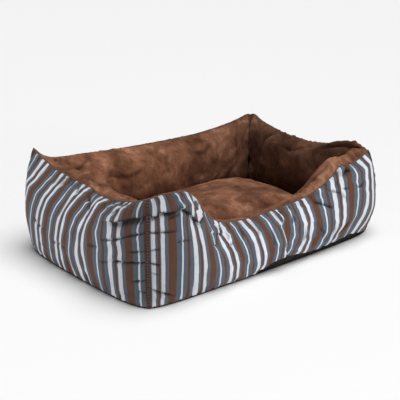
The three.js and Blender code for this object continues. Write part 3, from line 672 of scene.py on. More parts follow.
# ------------------------------------------------------------------ padded walls: one cloth simulation for all four
STEP_MM = 7.0
wall = {}
verts, faces, pins, fulls, off = [], [], [], [], 0
for name, (a, b, n, w, out, foot, half) in WALLS.items():
    nu = int(round(2 * half / STEP_MM)) + 1
    no = int(round(235 / STEP_MM)) + 1
    ni = int(round(225 / STEP_MM)) + 1
    u = np.linspace(-1, 1, nu)
    u = u * (1.12 - 0.12 * u * u)
    fine = np.linspace(0, 1, 241)
    P, lev = [], []
    for uu in u:
        row, lv = [], []
        for fn, count, rev in ((outer, no, False), (inner, ni, True)):
            q = fn(name, np.full_like(fine, uu), fine)
            l = np.concatenate([[0], np.cumsum(np.linalg.norm(np.diff(q, axis=0), axis=1))])
            want = np.linspace(0, l[-1], count)
            tt = np.interp(want, l, fine)
            q = fn(name, np.full_like(tt, uu), tt)
            if rev:
                q, tt = q[::-1][1:], tt[::-1][1:]
            row.append(q)
            lv.append(tt)
        P.append(np.concatenate(row))
        lev.append(np.concatenate(lv))
    P, up = np.stack(P), np.stack(lev)
    nv = P.shape[1]
    pin = np.zeros((nu, nv))
    pin[0] = pin[-1] = 1
    pin[:, 0] = pin[:, -1] = pin[:, no - 1] = 1
    edge = np.minimum(half * (1 - np.abs(u)), 400)[:, None]
    zt = table(SEAM_HEIGHT[name], u)[:, None]
    near_seam = np.exp(-(1 - up) * zt / 26)
    near_corner = np.exp(-edge / 55)
    full = np.clip(0.25 + 0.75 * near_corner + 0.55 * near_seam, 0, 1) * np.ones((nu, nv))
    wall[name] = dict(nu=nu, nv=nv, no=no, off=off, u=u, start=P, level=up)
    verts.append((P + 0.6 * grid_normals(P) * noise3(P, 22.0, 3)[..., None] * (1 - pin[..., None])).reshape(-1, 3))
    faces.append(faces_grid(nu, nv, off))
    pins.append(pin.ravel())
    fulls.append(full.ravel())
    off += nu * nv
sim = mesh_object("sim_walls", np.concatenate(verts), np.concatenate(faces))
pts = simulate(sim, 20, 3.0, np.concatenate(pins), np.concatenate(fulls), (0.012, 0.075), tension=15, bending=0.3, cap=15.0)
bpy.data.objects.remove(sim)

# place along the cloth, in mm, measured half way up; it runs on from the left wall round the near corner to the front wall
arc = {}
for name, W in wall.items():
    mid = outer(name, W["u"], np.full_like(W["u"], 0.35))
    l = np.concatenate([[0], np.cumsum(np.linalg.norm(np.diff(mid, axis=0), axis=1))])
    arc[name] = l
start_s = dict(front=PHASE_A, left=PHASE_A - arc["left"][-1])
start_s["right"] = start_s["front"] + arc["front"][-1]
start_s["back"] = start_s["right"] + arc["right"][-1]

def smooth_rows(v, n):
    k = np.ones(n) / n
    return np.convolve(np.pad(v, n // 2, "edge"), k, "valid")


def cloth_mm(P):
    """Height along the cloth above its foot, mm, for every point of the grid."""
    return np.concatenate([np.zeros((P.shape[0], 1)), np.cumsum(np.linalg.norm(np.diff(P, axis=1), axis=-1), 1)], 1)


for name, W in wall.items():
    P = pts[W["off"]: W["off"] + W["nu"] * W["nv"]].reshape(W["nu"], W["nv"], 3)
    s = arc[name] + start_s[name]
    A, B = P[:, : W["no"]], P[:, W["no"] - 1:]
    B = up2(up2(B, 0), 1)
    sB = up2(s[:, None], 0)[:, 0]
    for _ in range(2 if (name in ("front", "left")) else 1):
        A = up2(up2(A, 0), 1)
        s = up2(s[:, None], 0)[:, 0]
    uB = np.interp(sB, arc[name] + start_s[name], W["u"])
    n0 = A.shape[0]
    v = np.linspace(0, 1, A.shape[1])
    if name == "front":
        # columns that follow the tuck, with extra ones for the cloth folded away
        lp = np.interp(v, [r[0] for r in TUCK], [r[1] for r in TUCK]) + s[0]
        wid = np.interp(v, [r[0] for r in TUCK], [r[2] for r in TUCK])
        lp, wid = smooth_rows(lp, 7), smooth_rows(wid, 7)
        share = (lp - s[0]) / (s[-1] - s[0])
        n1 = int(round(n0 * 0.53))
        L = [s[0] + (lp - 6 - s[0]) * k / n1 for k in range(n1 + 1)]
        tau = [-1.0] * (n1 + 1)
        for k in range(1, 18):
            t = -1 + 2 * k / 18
            L.append(lp + 6 * t)
            tau.append(t)
        n2 = n0 - n1
        L += [lp + 6 + (s[-1] - lp - 6) * k / n2 for k in range(n2 + 1)]
        tau += [1.0] * (n2 + 1)
        base, tau = np.stack(L), np.array(tau)[:, None] * np.ones_like(lp)[None]
        z = 2.6 * (tau - tau**3)
        lay = base - 0.5 * wid[None] * z
        lift = 7.0 * np.clip(wid / 20, 0, 1)[None] * np.where(base < lp, np.exp(-np.clip(lp - 6 - base, 0, None) / 22), 0) * (0.5 - 0.5 * np.tanh(3 * tau))
        lift = np.where(tau > -1, 7.0 * np.clip(wid / 20, 0, 1)[None] * (0.5 - 0.5 * np.tanh(3 * tau)) / (0.5 + 0.5 * np.tanh(3)), lift)
        lift -= 2.5 * np.clip(wid / 20, 0, 1)[None] * np.where(tau >= 1, np.exp(-(base - lp - 6) / 14), np.where(tau > 0, 1, 0) * np.clip(tau, 0, 1))
        hem = smooth_rows(np.interp(np.median(base, 1) - s[0], [r[0] for r in HEM], [r[1] for r in HEM]), 9)
        hem = np.where(np.median(base, 1) - s[0] < 284, 0, hem)
        V0 = np.broadcast_to(v[None], base.shape)
        V = hem[:, None] + (1 - hem[:, None]) * V0
        ci = np.interp(lay.ravel(), s, np.arange(n0)).reshape(lay.shape)
        nrm = grid_normals(A)
        G = bilinear(A, ci, V * (A.shape[1] - 1))
        N = bilinear(nrm, ci, V * (A.shape[1] - 1))
        G = G + N * lift[..., None]
        # stripes: one side of the tuck, the other side, and the way between them
        a_ = lay - s[0]
        half_w = np.interp(V0, [0, 0.6, 0.78, 1], [6, 6, 26, 26])
        sg = step((base - lp[None]) / half_w, -1, 1)
        f1 = drift(FRONT_A, FRONT_DRIFT, np.clip(a_, 0, 372), V)
        f2 = drift(BEYOND_A, BEYOND_DRIFT, np.clip(a_, 350, 690), V)
        dr = f1 * (1 - sg) + f2 * sg
        W["hem"], W["hem_s"] = hem, np.median(base, 1)
        # dark cloth of the base, turned up under the raised hem
        pick = np.nonzero((W["hem_s"] - s[0] > 287) & (W["hem_s"] - s[0] < 684))[0][::2]
        rise_ = np.linspace(0, 1, 9)[None, :]
        Vt = (hem[pick][:, None] + 0.045) * rise_
        ct = np.interp(np.broadcast_to(W["hem_s"][pick][:, None], Vt.shape).ravel(), s, np.arange(n0)).reshape(Vt.shape)
        T = bilinear(A, ct, Vt * (A.shape[1] - 1)) - bilinear(nrm, ct, Vt * (A.shape[1] - 1)) * (3.0 + 5.0 * np.sin(np.pi * 0.5 * rise_))[..., None]
        T[:, 0, 2] = 0.6
        W["turn_up"] = T
        A = G
        S = lay
        edge_end = dr[-1]
        lowest = V
    else:
        S = np.broadcast_to(s[:, None], (n0, len(v)))
        V = np.broadcast_to(v[None], S.shape)
        if name == "left":
            dr = drift(LEFT_A, LEFT_DRIFT, S - s[-1], V)
        else:
            q = np.stack([S * 1.0, V * 60, np.full_like(S, 9.0)], -1)
            away = (S - s[0])
            dr = 22 * noise3(q, 150.0, 21) + 10 * noise3(q, 60.0, 22)
            dr = dr * (0.25 + 0.75 * V) * step(away, 0, 90)
            if name == "right":
                dr = dr + np.interp(v, W["end_v"], W["end_d"])[None] * np.exp(-away / 120)
        N = None
    if name == "front":
        wall["right"]["end_v"], wall["right"]["end_d"] = v, edge_end
    # folds; each also adds painted shade to the cloth colour along it
    H = cloth_mm(A)
    if name == "front":
        H = H + hem[:, None] / (1 - hem[:, None]) * H[:, -1:]
    full_h = H[:, -1]
    N = grid_normals(np.stack([smooth_rows(A[..., c].ravel(), 1).reshape(A.shape[:2]) for c in range(3)], -1))
    a0 = s[0] if name == "front" else s[-1] if name == "left" else s[0]
    col = np.median(S, 1)
    rim = np.clip((H[:, -1:] - H) / 7.0, 0, 1)  # the seam itself stays where it is
    before = A.copy()
    A = A.copy()
    # painted shade for the cloth colour, gathered from the folds and seams below
    painted_shade = np.zeros(S.shape)
    for kind, line, depth, width, e0, e1 in dict(left=LEFT_FOLDS, front=FRONT_FOLDS).get(name, []):
        line = [(a0 + a, vv * np.interp(a0 + a, col, full_h)) for a, vv in line]
        painted_shade = np.maximum(painted_shade, fold(A, N, S, H, kind, line, depth, width, e0, e1))
    # small gathers where the cloth is sewn into the ridge and the corners; those at the ridge also add painted shade
    rag = np.random.default_rng(dict(left=3, front=5, right=7, back=9)[name])
    length = S[-1, 0] - S[0, 0]
    pos = 12.0
    while pos < length - 12:
        ln = rag.uniform(14, 46)
        lean_ = rag.uniform(-9, 9)
        top = np.interp(col[0] + pos, col, full_h)
        painted_shade = np.maximum(painted_shade, fold(A, N, S, H, "groove", [(col[0] + pos, top + 2), (col[0] + pos + lean_ * 0.5, top - ln * 0.5), (col[0] + pos + lean_, top - ln)], rag.uniform(0.7, 1.7), rag.uniform(2.6, 4.0), 1.0, 0.1))
        if rag.uniform() < 0.6:
            ln = rag.uniform(12, 34)
            fold(A, N, S, H, "groove", [(col[0] + pos, 0), (col[0] + pos + lean_ * 0.4, ln)], rag.uniform(0.7, 1.7), rag.uniform(2.6, 4.0), 1.0, 0.1)
        pos += rag.uniform(12, 26)
    if name in ("right", "back"):
        for side_ in (0, 1):
            for k in range(6):
                hh = rag.uniform(0.12, 0.9) * full_h[0 if side_ == 0 else -1]
                ln = rag.uniform(30, 90)
                x0 = col[0] if side_ == 0 else col[-1]
                sg_ = 1 if side_ == 0 else -1
                pts_ = [(x0, hh), (x0 + sg_ * ln * 0.5, hh + rag.uniform(-5, 5)), (x0 + sg_ * ln, hh + rag.uniform(-10, 10))]
                if sg_ < 0:
                    pts_ = pts_[::-1]
                fold(A, N, S, H, "groove", pts_, rag.uniform(2.0, 4.5), rag.uniform(2.8, 4.0), 1.0 if side_ == 0 else 0.2, 0.2 if side_ == 0 else 1.0)
    ends = np.minimum(np.abs(S - S[0]), np.abs(S - S[-1]))
    keep = (0.15 + 0.85 * step(ends, 0, 5)) * rim
    A = before + (A - before) * keep[..., None]
    # the corner seams are drawn in a little
    for end_, pk in ((0, WALLS[name][0]), (-1, WALLS[name][1])):
        pull = dict(A=5.0, B=3.0, C=3.0, D=3.0)[pk] * np.exp(-((np.abs(S - S[end_]) / 8.0) ** 2)) * np.clip(H / 25, 0, 1) * np.clip((H[:, -1:] - H) / 30, 0, 1)
        A = A - np.array([PEAKS[pk][3], PEAKS[pk][4], 0]) / math.sqrt(2) * pull[..., None]
        # painted shade along the drawn-in corner seams
        painted_shade = np.maximum(painted_shade, 0.55 * pull / 5.0)
        if pk == "A":  # painted shade: the cloth colour is darkened for a hand's width either side of this corner
            painted_shade = 1 - (1 - np.minimum(painted_shade, 1)) * (1 - 0.42 * np.exp(-((np.abs(S - S[end_]) / 105.0) ** 2)) * np.clip(H / 20, 0.4, 1))
    if name == "front":
        A[..., 2] = np.maximum(A[..., 2], 2.5)
    W["s"], W["A"], W["B"], W["sB"], W["seam_s"] = col, A, B, sB, S[:, -1]
    # the third channel carries the painted shade
    W["fabA"] = np.stack([S + dr, H, painted_shade], -1)
    ztB = table(SEAM_HEIGHT[name], uB)
    hB = np.linspace(1, 0, B.shape[1])[None, :] * (ztB * 1.12)[:, None]
    W["fabB"] = np.stack([np.broadcast_to(sB[:, None], hB.shape), hB, 0 * hB], -1)

S0 = {n: W["sB"][0] for n, W in wall.items()}
# the back suede panel with painted light and shade: darker at one end, lighter at the other
MAT_SUEDE_BACK_PAINTED_LIGHT = suede_material("brown_suede_back_painted_light", 1.0, 0.0, painted_light_ramp=(S0["back"] + 40, S0["back"] + 600, 0.68, 1.32))
GATHERS = dict(front=([S0["front"], S0["front"] + 300, S0["front"] + 440, S0["front"] + 500, S0["front"] + 680], [0.5, 0.3, 0.9, 2.1, 2.2]),
               right=([S0["right"], S0["right"] + 120, S0["right"] + 450], [2.0, 1.3, 1.5]),
               back=([S0["back"], S0["back"] + 90, S0["back"] + 600], [1.7, 0.9, 1.1]),
               left=([S0["left"], S0["left"] + 450], [1.1, 0.8]))
for name, W in wall.items():
    A, B = W["A"], W["B"]
    # the suede crown is gathered into the ridge
    dist = cloth_mm(B)
    g_amp = np.interp(W["sB"], *GATHERS[name])
    q = W["sB"][:, None] + 0 * dist
    ph = q / 19.0 + 0.8 * noise3(np.stack([q, q * 0, q * 0], -1), 30.0, 71) + 0.35 * noise3(np.stack([q, dist, q * 0], -1), 24.0, 72)
    ridge_ = 1 - 2 * np.abs(((ph % 1.0) - 0.5) * 2) ** 0.7
    amount = 2.3 * g_amp[:, None] * np.exp(-((dist - 6) / 20) ** 2) * np.clip(dist / 5, 0, 1)
    nB = grid_normals(B)
    soft = 2.2 * noise3(np.stack([q, dist, q * 0], -1), 46.0, 73) + 1.1 * noise3(np.stack([q, dist, q * 0], -1), 21.0, 74)
    inside = np.clip(dist / 15, 0, 1) * np.clip((dist[:, -1:] - dist) / 15, 0, 1)
    tip = np.clip(np.minimum(np.abs(q - q[0]), np.abs(q - q[-1])) / 18, 0, 1)
    B = B + nB * ((ridge_ * amount + soft * inside) * tip)[..., None]
    # the padding stands out beside the corner seams and falls in at them
    for end_ in (0, -1):
        e = np.abs(q - q[end_])
        k = (5.0 * np.exp(-(((e - 24) / 15) ** 2)) - 5.0 * np.exp(-(((e - 5) / 5) ** 2))) * np.clip(e / 4, 0, 1) * inside
        B = B + nB * k[..., None]
    # painted shade for the suede colour from its folds, kept in the third channel of fab
    painted_shade_B = np.zeros(q.shape)
    for kind, line, depth, width, e0, e1 in INNER_FOLDS.get(name, []):
        painted_shade_B = np.maximum(painted_shade_B, fold(B, nB, q - q[0], -dist, kind, line, depth, width, e0, e1))
    W["fabB"][..., 2] = painted_shade_B
    W["B"] = B

for name, W in wall.items():
    A, B = W["A"], W["B"]
    outer_ob = mesh_object(f"{name}_striped_panel", A, faces_grid(A.shape[0], A.shape[1]), {"fab": W["fabA"]})
    inner_ob = mesh_object(f"{name}_suede_panel", B, faces_grid(B.shape[0], B.shape[1]), {"fab": W["fabB"]})
    for ob in (outer_ob, inner_ob):
        so = ob.modifiers.new("Thickness", "SOLIDIFY")
        so.thickness, so.offset = 0.0012, -1.0
    finish_piece(outer_ob, MAT_STRIPE, "striped_cloth", "bed", f"{name}_outer_panel")
    # the right inner panel takes the suede with painted shade, the back one the suede with painted light and shade
    finish_piece(inner_ob, MAT_SUEDE_PAINTED_SHADE if name == "right" else MAT_SUEDE_BACK_PAINTED_LIGHT if name == "back" else MAT_SUEDE, "brown_suede", "bed", f"{name}_inner_panel")
    # filling, well inside both panels
    P = pts[W["off"]: W["off"] + W["nu"] * W["nv"]].reshape(W["nu"], W["nv"], 3)
    c = P.mean(1, keepdims=True)
    ring = c + (P - c) * np.array([1, 1, 0.84])
    ring = ring - 9.0 * grid_normals(ring)
    low = np.stack([ring[:, -1], ring[:, 0]], 1)
    low[..., 2] = 2.2
    ring = np.concatenate([ring, low], 1)
    nu, nv = ring.shape[:2]
    wdir = np.array([*WALLS[name][3], 0.0])
    ring[0] += 5 * wdir
    ring[-1] -= 5 * wdir
    f = [[i * nv + j, (i + 1) * nv + j, (i + 1) * nv + (j + 1) % nv, i * nv + (j + 1) % nv] for i in range(nu - 1) for j in range(nv)]
    vv = ring.reshape(-1, 3)
    c0, c1 = ring[0].mean(0), ring[-1].mean(0)
    vv = np.concatenate([vv, [c0, c1]])
    f += [[nu * nv, j, (j + 1) % nv][::-1] for j in range(nv)]
    f += [[nu * nv + 1, (nu - 1) * nv + (j + 1) % nv, (nu - 1) * nv + j][::-1] for j in range(nv)]
    fill_ob = mesh_object(f"{name}_fibre_filling", vv, f)
    finish_piece(fill_ob, MAT_FIBRE, "fibre_filling", "bed", f"{name}_wall_filling")
    length = (W["sB"][-1] - W["sB"][0]) * 1e-3


# ------------------------------------------------------------------ seams
def ribbon(name, line, up, side, s, width, height, base, ruffle, seed, mat, nodes):
    """Overlocked ridge: a flattened tube with the bite of the thread loops along its top."""
    n = len(line)
    prof = [(-0.5, 0), (-0.55, 0.35), (-0.5, 0.7), (-0.28, 0.97), (0.0, 1.04), (0.28, 0.97), (0.5, 0.7), (0.55, 0.35), (0.5, 0)]
    lean = noise3(np.stack([s, s * 0, s * 0], -1), 21.0, seed) * ruffle + noise3(np.stack([s, s * 0, s * 0], -1), 8.0, seed + 5) * ruffle * 0.5
    hgt = height * (1 + 0.16 * noise3(np.stack([s, s * 0, s * 0], -1), 6.0, seed + 9)) * (0.93 + 0.09 * np.sin(2 * np.pi * s / 3.2))
    rows, fab = [], []
    for k, (x, y) in enumerate(prof):
        p = line + side * (x * width * (1 + 0.16 * np.sin(2 * np.pi * s / 3.2 + k))[:, None]) + up * (base + y * hgt)[:, None] + side * (lean * y)[:, None]
        rows.append(p)
        fab.append(np.stack([s, np.full(n, y * height + x * 2), np.full(n, float(k))], -1))
    G, F = np.stack(rows, 1), np.stack(fab, 1)
    m = G.shape[1]
    f = [[i * m + j, (i + 1) * m + j, (i + 1) * m + (j + 1) % m, i * m + (j + 1) % m] for i in range(n - 1) for j in range(m)]
    f += [list(range(m))[::-1], [(n - 1) * m + j for j in range(m)]]
    ob = mesh_object(name, G, f, {"fab": F})
    finish_piece(ob, mat, "brown_thread", "bed", *nodes)
    return ob


def resample(line, vals, gap):
    l = np.concatenate([[0], np.cumsum(np.linalg.norm(np.diff(line, axis=0), axis=1))])
    q = np.linspace(0, l[-1], int(l[-1] / gap) + 2)
    return np.stack([np.interp(q, l, line[:, i]) for i in range(3)], -1), [np.stack([np.interp(q, l, v[:, i]) for i in range(3)], -1) for v in vals], q


for wi, (name, W) in enumerate(wall.items()):
    A, B = W["A"], W["B"]
    line = B[:, 0]
    inward = B[:, 2] - line
    outward = np.stack([np.interp(W["sB"], W["seam_s"], A[:, -4, c]) for c in range(3)], -1) - line
    nrm = -(inward / np.linalg.norm(inward, axis=1, keepdims=True) + outward / np.linalg.norm(outward, axis=1, keepdims=True))
    nrm += 0.35 * grid_normals(B)[:, 0]
    nrm[:, 2] = np.maximum(nrm[:, 2], 0.2)
    k = np.ones(9) / 9
    nrm = np.stack([np.convolve(np.pad(nrm[:, i], 4, "edge"), k, "valid") for i in range(3)], -1)
    nrm /= np.linalg.norm(nrm, axis=1, keepdims=True)
    line2, (up,), s = resample(line, [nrm], 1.1)
    tang = np.gradient(line2, axis=0)
    tang /= np.linalg.norm(tang, axis=1, keepdims=True)
    side = np.cross(tang, up)
    side /= np.linalg.norm(side, axis=1, keepdims=True)
    ribbon(f"{name}_overlocked_ridge", line2, up, side, s, 2.0, 3.0, -1.1, 1.6, 11 + wi, MAT_RIM_THREAD, [f"{name}_rim_seam"])

CN = dict(A="front_left", D="front_right", C="back_right", B="back_left")
for name, W in wall.items():
    key = WALLS[name][0]
    p = PEAKS[key]
    diag = np.array([p[3], p[4], 0.0]) / math.sqrt(2)
    along = np.array([-p[4], p[3], 0.0]) / math.sqrt(2)
    line, _, s = resample(W["A"][0], [], 1.1)
    n = len(line)
    ribbon(f"{CN[key]}_outer_corner_stitching", line, np.tile(diag, (n, 1)), np.tile(along, (n, 1)), s, 5.6, 3.0, -1.2, 3.0, 31, MAT_CORNER_THREAD, [f"{CN[key]}_outer_corner_seam"])
    line, _, s = resample(W["B"][0], [], 1.1)
    line = line[6:]
    s = s[6:]
    n = len(line)
    ribbon(f"{CN[key]}_inner_corner_stitching", line, np.tile(-diag, (n, 1)), np.tile(-along, (n, 1)), s, 1.6, 1.6, -0.2, 0.2, 41, MAT_THREAD, [f"{CN[key]}_inner_corner_seam"])

# ------------------------------------------------------------------ floor of the bed
def around(fn, shift, t=0.0, n=60):
    out = []
    for name, (a, b, nn, w, o, i_, half) in WALLS.items():
        u = np.linspace(-1, 1, n, endpoint=False)
        P = fn(name, u, np.full_like(u, t))
        P[:, 0] += shift * (nn[0] + u * w[0])
        P[:, 1] += shift * (nn[1] + u * w[1])
        out.append(P)
    return np.concatenate(out)


def shell(T, thick):
    """Closed shell over the grid T, thick mm towards the inside."""
    n, m = T.shape[:2]
    back_ = T - grid_normals(T) * thick
    f = faces_grid(n, m).tolist() + [q[::-1] for q in faces_grid(n, m, n * m).tolist()]
    o = n * m
    for i in range(n - 1):
        f += [[i * m, o + i * m, o + (i + 1) * m, (i + 1) * m], [(i + 1) * m + m - 1, o + (i + 1) * m + m - 1, o + i * m + m - 1, i * m + m - 1]]
    for j in range(m - 1):
        f += [[j + 1, o + j + 1, o + j, j], [(n - 1) * m + j, o + (n - 1) * m + j, o + (n - 1) * m + j + 1, (n - 1) * m + j + 1]]
    return np.concatenate([T.reshape(-1, 3), back_.reshape(-1, 3)]), f


def slab(name, outline, z0, z1, rounding, mat, slot, nodes, sag=0.0, extra=None):
    c = outline.mean(0)
    n = len(outline)
    scales = [0.0, 0.35, 0.7, 0.93]
    rows = []
    def ring(inset, z):
        d = outline - c
        l = np.linalg.norm(d[:, :2], axis=1, keepdims=True)
        q = c + d * (1 - inset / np.maximum(l, 1))
        q[:, 2] = z
        return q
    seq = []
    for k in scales[1:]:
        q = c + (outline - c) * k
        q[:, 2] = z0
        seq.append(q)
    h, r = z1 - z0, rounding
    for a in np.linspace(0, math.pi, 7):
        seq.append(ring(r * (1 - math.sin(a)), z0 + h * (1 - math.cos(a)) / 2))
    for k in scales[:0:-1]:
        q = c + (outline - c) * k
        q[:, 2] = z1 + sag * noise3(q, 60.0, 7) * (1 - k)
        seq.append(q)
    G = np.stack(seq, 0)
    m = G.shape[0]
    f = [[i * n + j, i * n + (j + 1) % n, (i + 1) * n + (j + 1) % n, (i + 1) * n + j] for i in range(m - 1) for j in range(n)]
    vv = G.reshape(-1, 3)
    vv = np.concatenate([vv, [[c[0], c[1], z0], [c[0], c[1], z1]]])
    f += [[m * n, (j + 1) % n, j] for j in range(n)]
    f += [[m * n + 1, (m - 1) * n + j, (m - 1) * n + (j + 1) % n] for j in range(n)]
    if extra:
        f += [[i + len(vv) for i in q] for q in extra[1]]
        vv = np.concatenate([vv, extra[0]])
    ob = mesh_object(name, vv, f, {"fab": vv * [1, 1, 0]})
    finish_piece(ob, mat, slot, "bed", *nodes)
    return ob


und = slab("non_slip_underside", around(outer, -3.5), 0.0, 1.8, 0.8, MAT_BASE, "dark_base_cloth", ["underside_panel"], extra=shell(wall["front"]["turn_up"], 1.0))
deck = slab("well_floor_cloth", around(inner, -0.5), 18.35, 19.9, 0.7, MAT_SUEDE, "brown_suede", ["deck_panel"])
pad = slab("floor_pad", around(inner, -1.0), 2.0, 18.0, 6.0, MAT_FIBRE, "fibre_filling", ["base_pad"])
line = around(outer, -0.8)
line[:, 2] = 2.4
line = np.concatenate([line, line[:1]])
line2, _, s = resample(line, [], 1.4)
tang = np.gradient(line2, axis=0)
tang /= np.linalg.norm(tang, axis=1, keepdims=True)
up = np.tile([0, 0, 1.0], (len(line2), 1))
ribbon("base_edge_stitching", line2, up, np.cross(tang, up), s, 2.2, 2.2, -1.2, 0.3, 51, MAT_DARK_THREAD, ["base_edge_seam"])

# ------------------------------------------------------------------ loose cushion
CX, CY, HX, HY, SEAM_Z, TOP, BOT = 3.5 - MID[0], -2 - MID[1], 253.0, 139.0, 50.0, 104.0, 20.4
N = 240
ang = 2 * np.pi * np.arange(N) / N
c_, s_ = np.cos(ang), np.sin(ang)
x_, y_ = np.sign(c_) * np.abs(c_) ** (2 / 4.2), np.sign(s_) * np.abs(s_) ** (2 / 4.2)
k_ = (np.abs(x_) ** 7 + np.abs(y_) ** 7) ** (-1 / 7)
x_, y_ = x_ * k_, y_ * k_
per = np.stack([x_ * HX, y_ * HY], -1)
l_ = np.concatenate([[0], np.cumsum(np.linalg.norm(np.diff(np.concatenate([per, per[:1]]), axis=0), axis=1))])
q_ = np.linspace(0, l_[-1], N, endpoint=False)
per = np.stack([np.interp(q_, l_, np.append(per[:, i], per[0, i])) for i in (0, 1)], -1)
M = 26
r_ = np.sin(np.pi / 2 * (np.arange(M) + 1) / M)
topf = lambda r: np.clip(1 - r**2.8, 0, 1) ** 0.62
botf = lambda r: np.sqrt(np.clip(1 - np.clip((r - 0.72) / 0.28, 0, 1) ** 2, 0, 1))
k0 = 0.985
rings_t = [np.column_stack([CX + per[:, 0] * r * k0, CY + per[:, 1] * r * k0, np.full(N, SEAM_Z + (TOP - 3 - SEAM_Z) * topf(r))]) for r in r_]
rings_b = [np.column_stack([CX + per[:, 0] * r * k0, CY + per[:, 1] * r * k0, np.full(N, SEAM_Z + (BOT + 1 - SEAM_Z) * botf(r))]) for r in r_[:-1]]
V = np.concatenate([np.concatenate(rings_t), np.concatenate(rings_b), [[CX, CY, TOP - 3], [CX, CY, BOT + 1]]])
nt_, nb_ = M * N, (M - 1) * N
F = []
for i in range(M - 1):
    for j in range(N):
        k = (j + 1) % N
        F.append([i * N + j, (i + 1) * N + j, (i + 1) * N + k, i * N + k])
for i in range(M - 1):
    for j in range(N):
        k = (j + 1) % N
        up_i = nt_ + i * N
        dn = nt_ + (i + 1) * N if i < M - 2 else (M - 1) * N
        F.append([up_i + k, dn + k, dn + j, up_i + j])
for j in range(N):
    k = (j + 1) % N
    F.append([len(V) - 2, j, k])
    F.append([len(V) - 1, nt_ + k, nt_ + j])
sim = mesh_object("sim_cushion", V, F)
seam_idx = np.arange((M - 1) * N, M * N)
r_all = np.concatenate([np.repeat(r_, N), np.repeat(r_[:-1], N), [0, 0]])
low = V[:, 2] < SEAM_Z - 12
pin = np.where(low, 1.0, 0.0)
full = np.clip(0.35 + 0.65 * step(r_all, 0.75, 1.0), 0, 1)
start = V + 0.8 * noise3(V, 26.0, 8)[:, None] * np.array([0, 0, 1.0])
sim.data.vertices.foreach_set("co", (start * MM).ravel())
CV = simulate(sim, 20, 3.0, pin, full, (0.01, 0.05), tension=15, bending=0.4, cap=9.0)
bpy.data.objects.remove(sim)
up_side = CV[:, 2] > SEAM_Z + 4
nz = np.array([0, 0, 1.0])[None] * np.ones_like(CV)
PX, PY = CV[:, 0] - CX, CV[:, 1] - CY
CUSHION_FOLDS = [
    [(-150, -118), (-118, -96), (-96, -66)], [(-112, -128), (-86, -104)], [(-60, -124), (-48, -88), (-22, -60)], [(-190, -100), (-168, -70)],
    [(40, -130), (52, -104), (80, -92)], [(120, -126), (138, -96)], [(-205, -20), (-170, -6), (-140, -14)], [(170, 60), (196, 84), (226, 88)],
    [(-20, 20), (20, 34), (66, 30)], [(90, -20), (120, -6), (160, -12)], [(-110, 70), (-70, 84), (-30, 78)], [(200, -60), (222, -30)],
]
for i_, ln_ in enumerate(CUSHION_FOLDS):
    moved = CV.copy()
    fold(moved, nz, PX, PY, "groove", ln_, 4.2 if i_ < 4 else 2.2, 7.0, 0.3, 0.3)
    moved[:, :2] = CV[:, :2]
    CV = np.where(up_side[:, None], moved, CV)
CV[:, 2] += np.where(up_side, 2.0 * noise3(np.column_stack([PX, PY, 0 * PX]), 70.0, 91) + 0.9 * noise3(np.column_stack([PX, PY, 0 * PX]), 28.0, 92), 0)
fabC = np.column_stack([CV[:, 0] - CX, CV[:, 1] - CY, np.zeros(len(CV))])
tri_top = [f for f in F if all((i < nt_) or i == len(V) - 2 for i in f)]
tri_bot = [f for f in F if f not in tri_top] if False else [f for f in F if not all((i < nt_) or i == len(V) - 2 for i in f)]


def part_of(name, fs):
    used = sorted({i for f in fs for i in f})
    idx = {v: i for i, v in enumerate(used)}
    return mesh_object(name, CV[used], [[idx[i] for i in f] for f in fs], {"fab": fabC[used]})


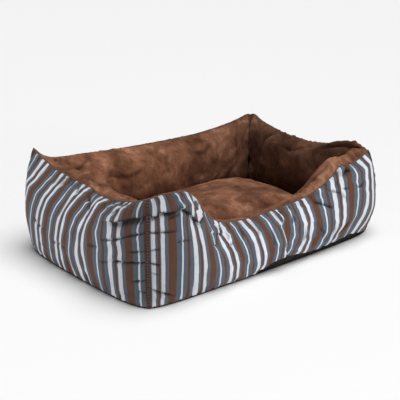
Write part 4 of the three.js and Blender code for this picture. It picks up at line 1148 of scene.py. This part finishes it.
top_ob = part_of("cushion_top", tri_top)
bot_ob = part_of("cushion_underside", tri_bot)
for ob, nd in ((top_ob, "cushion_top_cover"), (bot_ob, "cushion_bottom_cover")):
    so = ob.modifiers.new("Thickness", "SOLIDIFY")
    so.thickness, so.offset = 0.0012, -1.0
    su = ob.modifiers.new("Fine", "SUBSURF")
    su.levels = su.render_levels = 1
    finish_piece(ob, MAT_SUEDE_CUSHION, "brown_suede", "cushion", nd)
cc = np.array([CX, CY, 58.0])
fill_v = CV.copy()
fill_v[:, :2] = np.array([CX, CY]) + (fill_v[:, :2] - [CX, CY]) * 0.975
fill_v[:, 2] = 58 + (fill_v[:, 2] - 58) * 0.90
fc = mesh_object("cushion_fibre", fill_v, F)
finish_piece(fc, MAT_FIBRE, "fibre_filling", "cushion", "cushion_filling")
line = CV[seam_idx]
line = np.concatenate([line, line[:1]])
line2, _, s = resample(line, [], 1.6)
out = line2 - np.array([CX, CY, 0])
out[:, 2] = 0
out /= np.linalg.norm(out, axis=1, keepdims=True)
n = len(line2)
rb = ribbon("cushion_edge_stitching", line2, out, np.tile([0, 0, 1.0], (n, 1)), s, 2.2, 3.0, -0.8, 0.6, 61, MAT_THREAD, [])
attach(rb, "cushion")
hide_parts("cushion_edge_seam")

# ------------------------------------------------------------------ floor and light
floor = mesh_object("floor", [[-6000, -6000, 0], [6000, -6000, 0], [6000, 6000, 0], [-6000, 6000, 0]], [[0, 1, 2, 3]], smooth=False)
fm, nt, b = new_material("pale_floor")
b.inputs["Base Color"].default_value = (0.93, 0.93, 0.93, 1)
b.inputs["Roughness"].default_value = 0.9
b.inputs["Specular IOR Level"].default_value = 0.1
floor.data.materials.append(fm)
world = bpy.data.worlds.new("studio")
scene.world = world
world.use_nodes = True
bg = world.node_tree.nodes["Background"]
bg.inputs[0].default_value = (1, 1, 1, 1)
bg.inputs[1].default_value = 0.17


def area_light(name, loc, aim, size, power, size_y=None):
    l = bpy.data.lights.new(name, "AREA")
    l.shape = "RECTANGLE"
    l.size, l.size_y = size, size_y or size
    l.energy = power
    o = bpy.data.objects.new(name, l)
    o.location = loc
    o.rotation_euler = (Vector(loc) - Vector(aim)).to_track_quat("Z", "Y").to_euler()
    scene.collection.objects.link(o)
    return o


sun = bpy.data.lights.new("key", "SUN")
sun.energy, sun.angle = 2.6, math.radians(56)
sun_ob = bpy.data.objects.new("key", sun)
sun_ob.rotation_euler = Vector((0.12, -0.22, 0.97)).to_track_quat("Z", "Y").to_euler()
scene.collection.objects.link(sun_ob)
area_light("front", (0.4, -4.0, 0.75), (0, 0, 0.1), 2.2, 38, 1.3)
area_light("left", (-4.0, -1.2, 0.3), (0, 0, 0.1), 2.2, 48, 0.5)
scene.view_settings.view_transform = "Standard"
scene.view_settings.look = "None"
scene.view_settings.exposure = 0.0
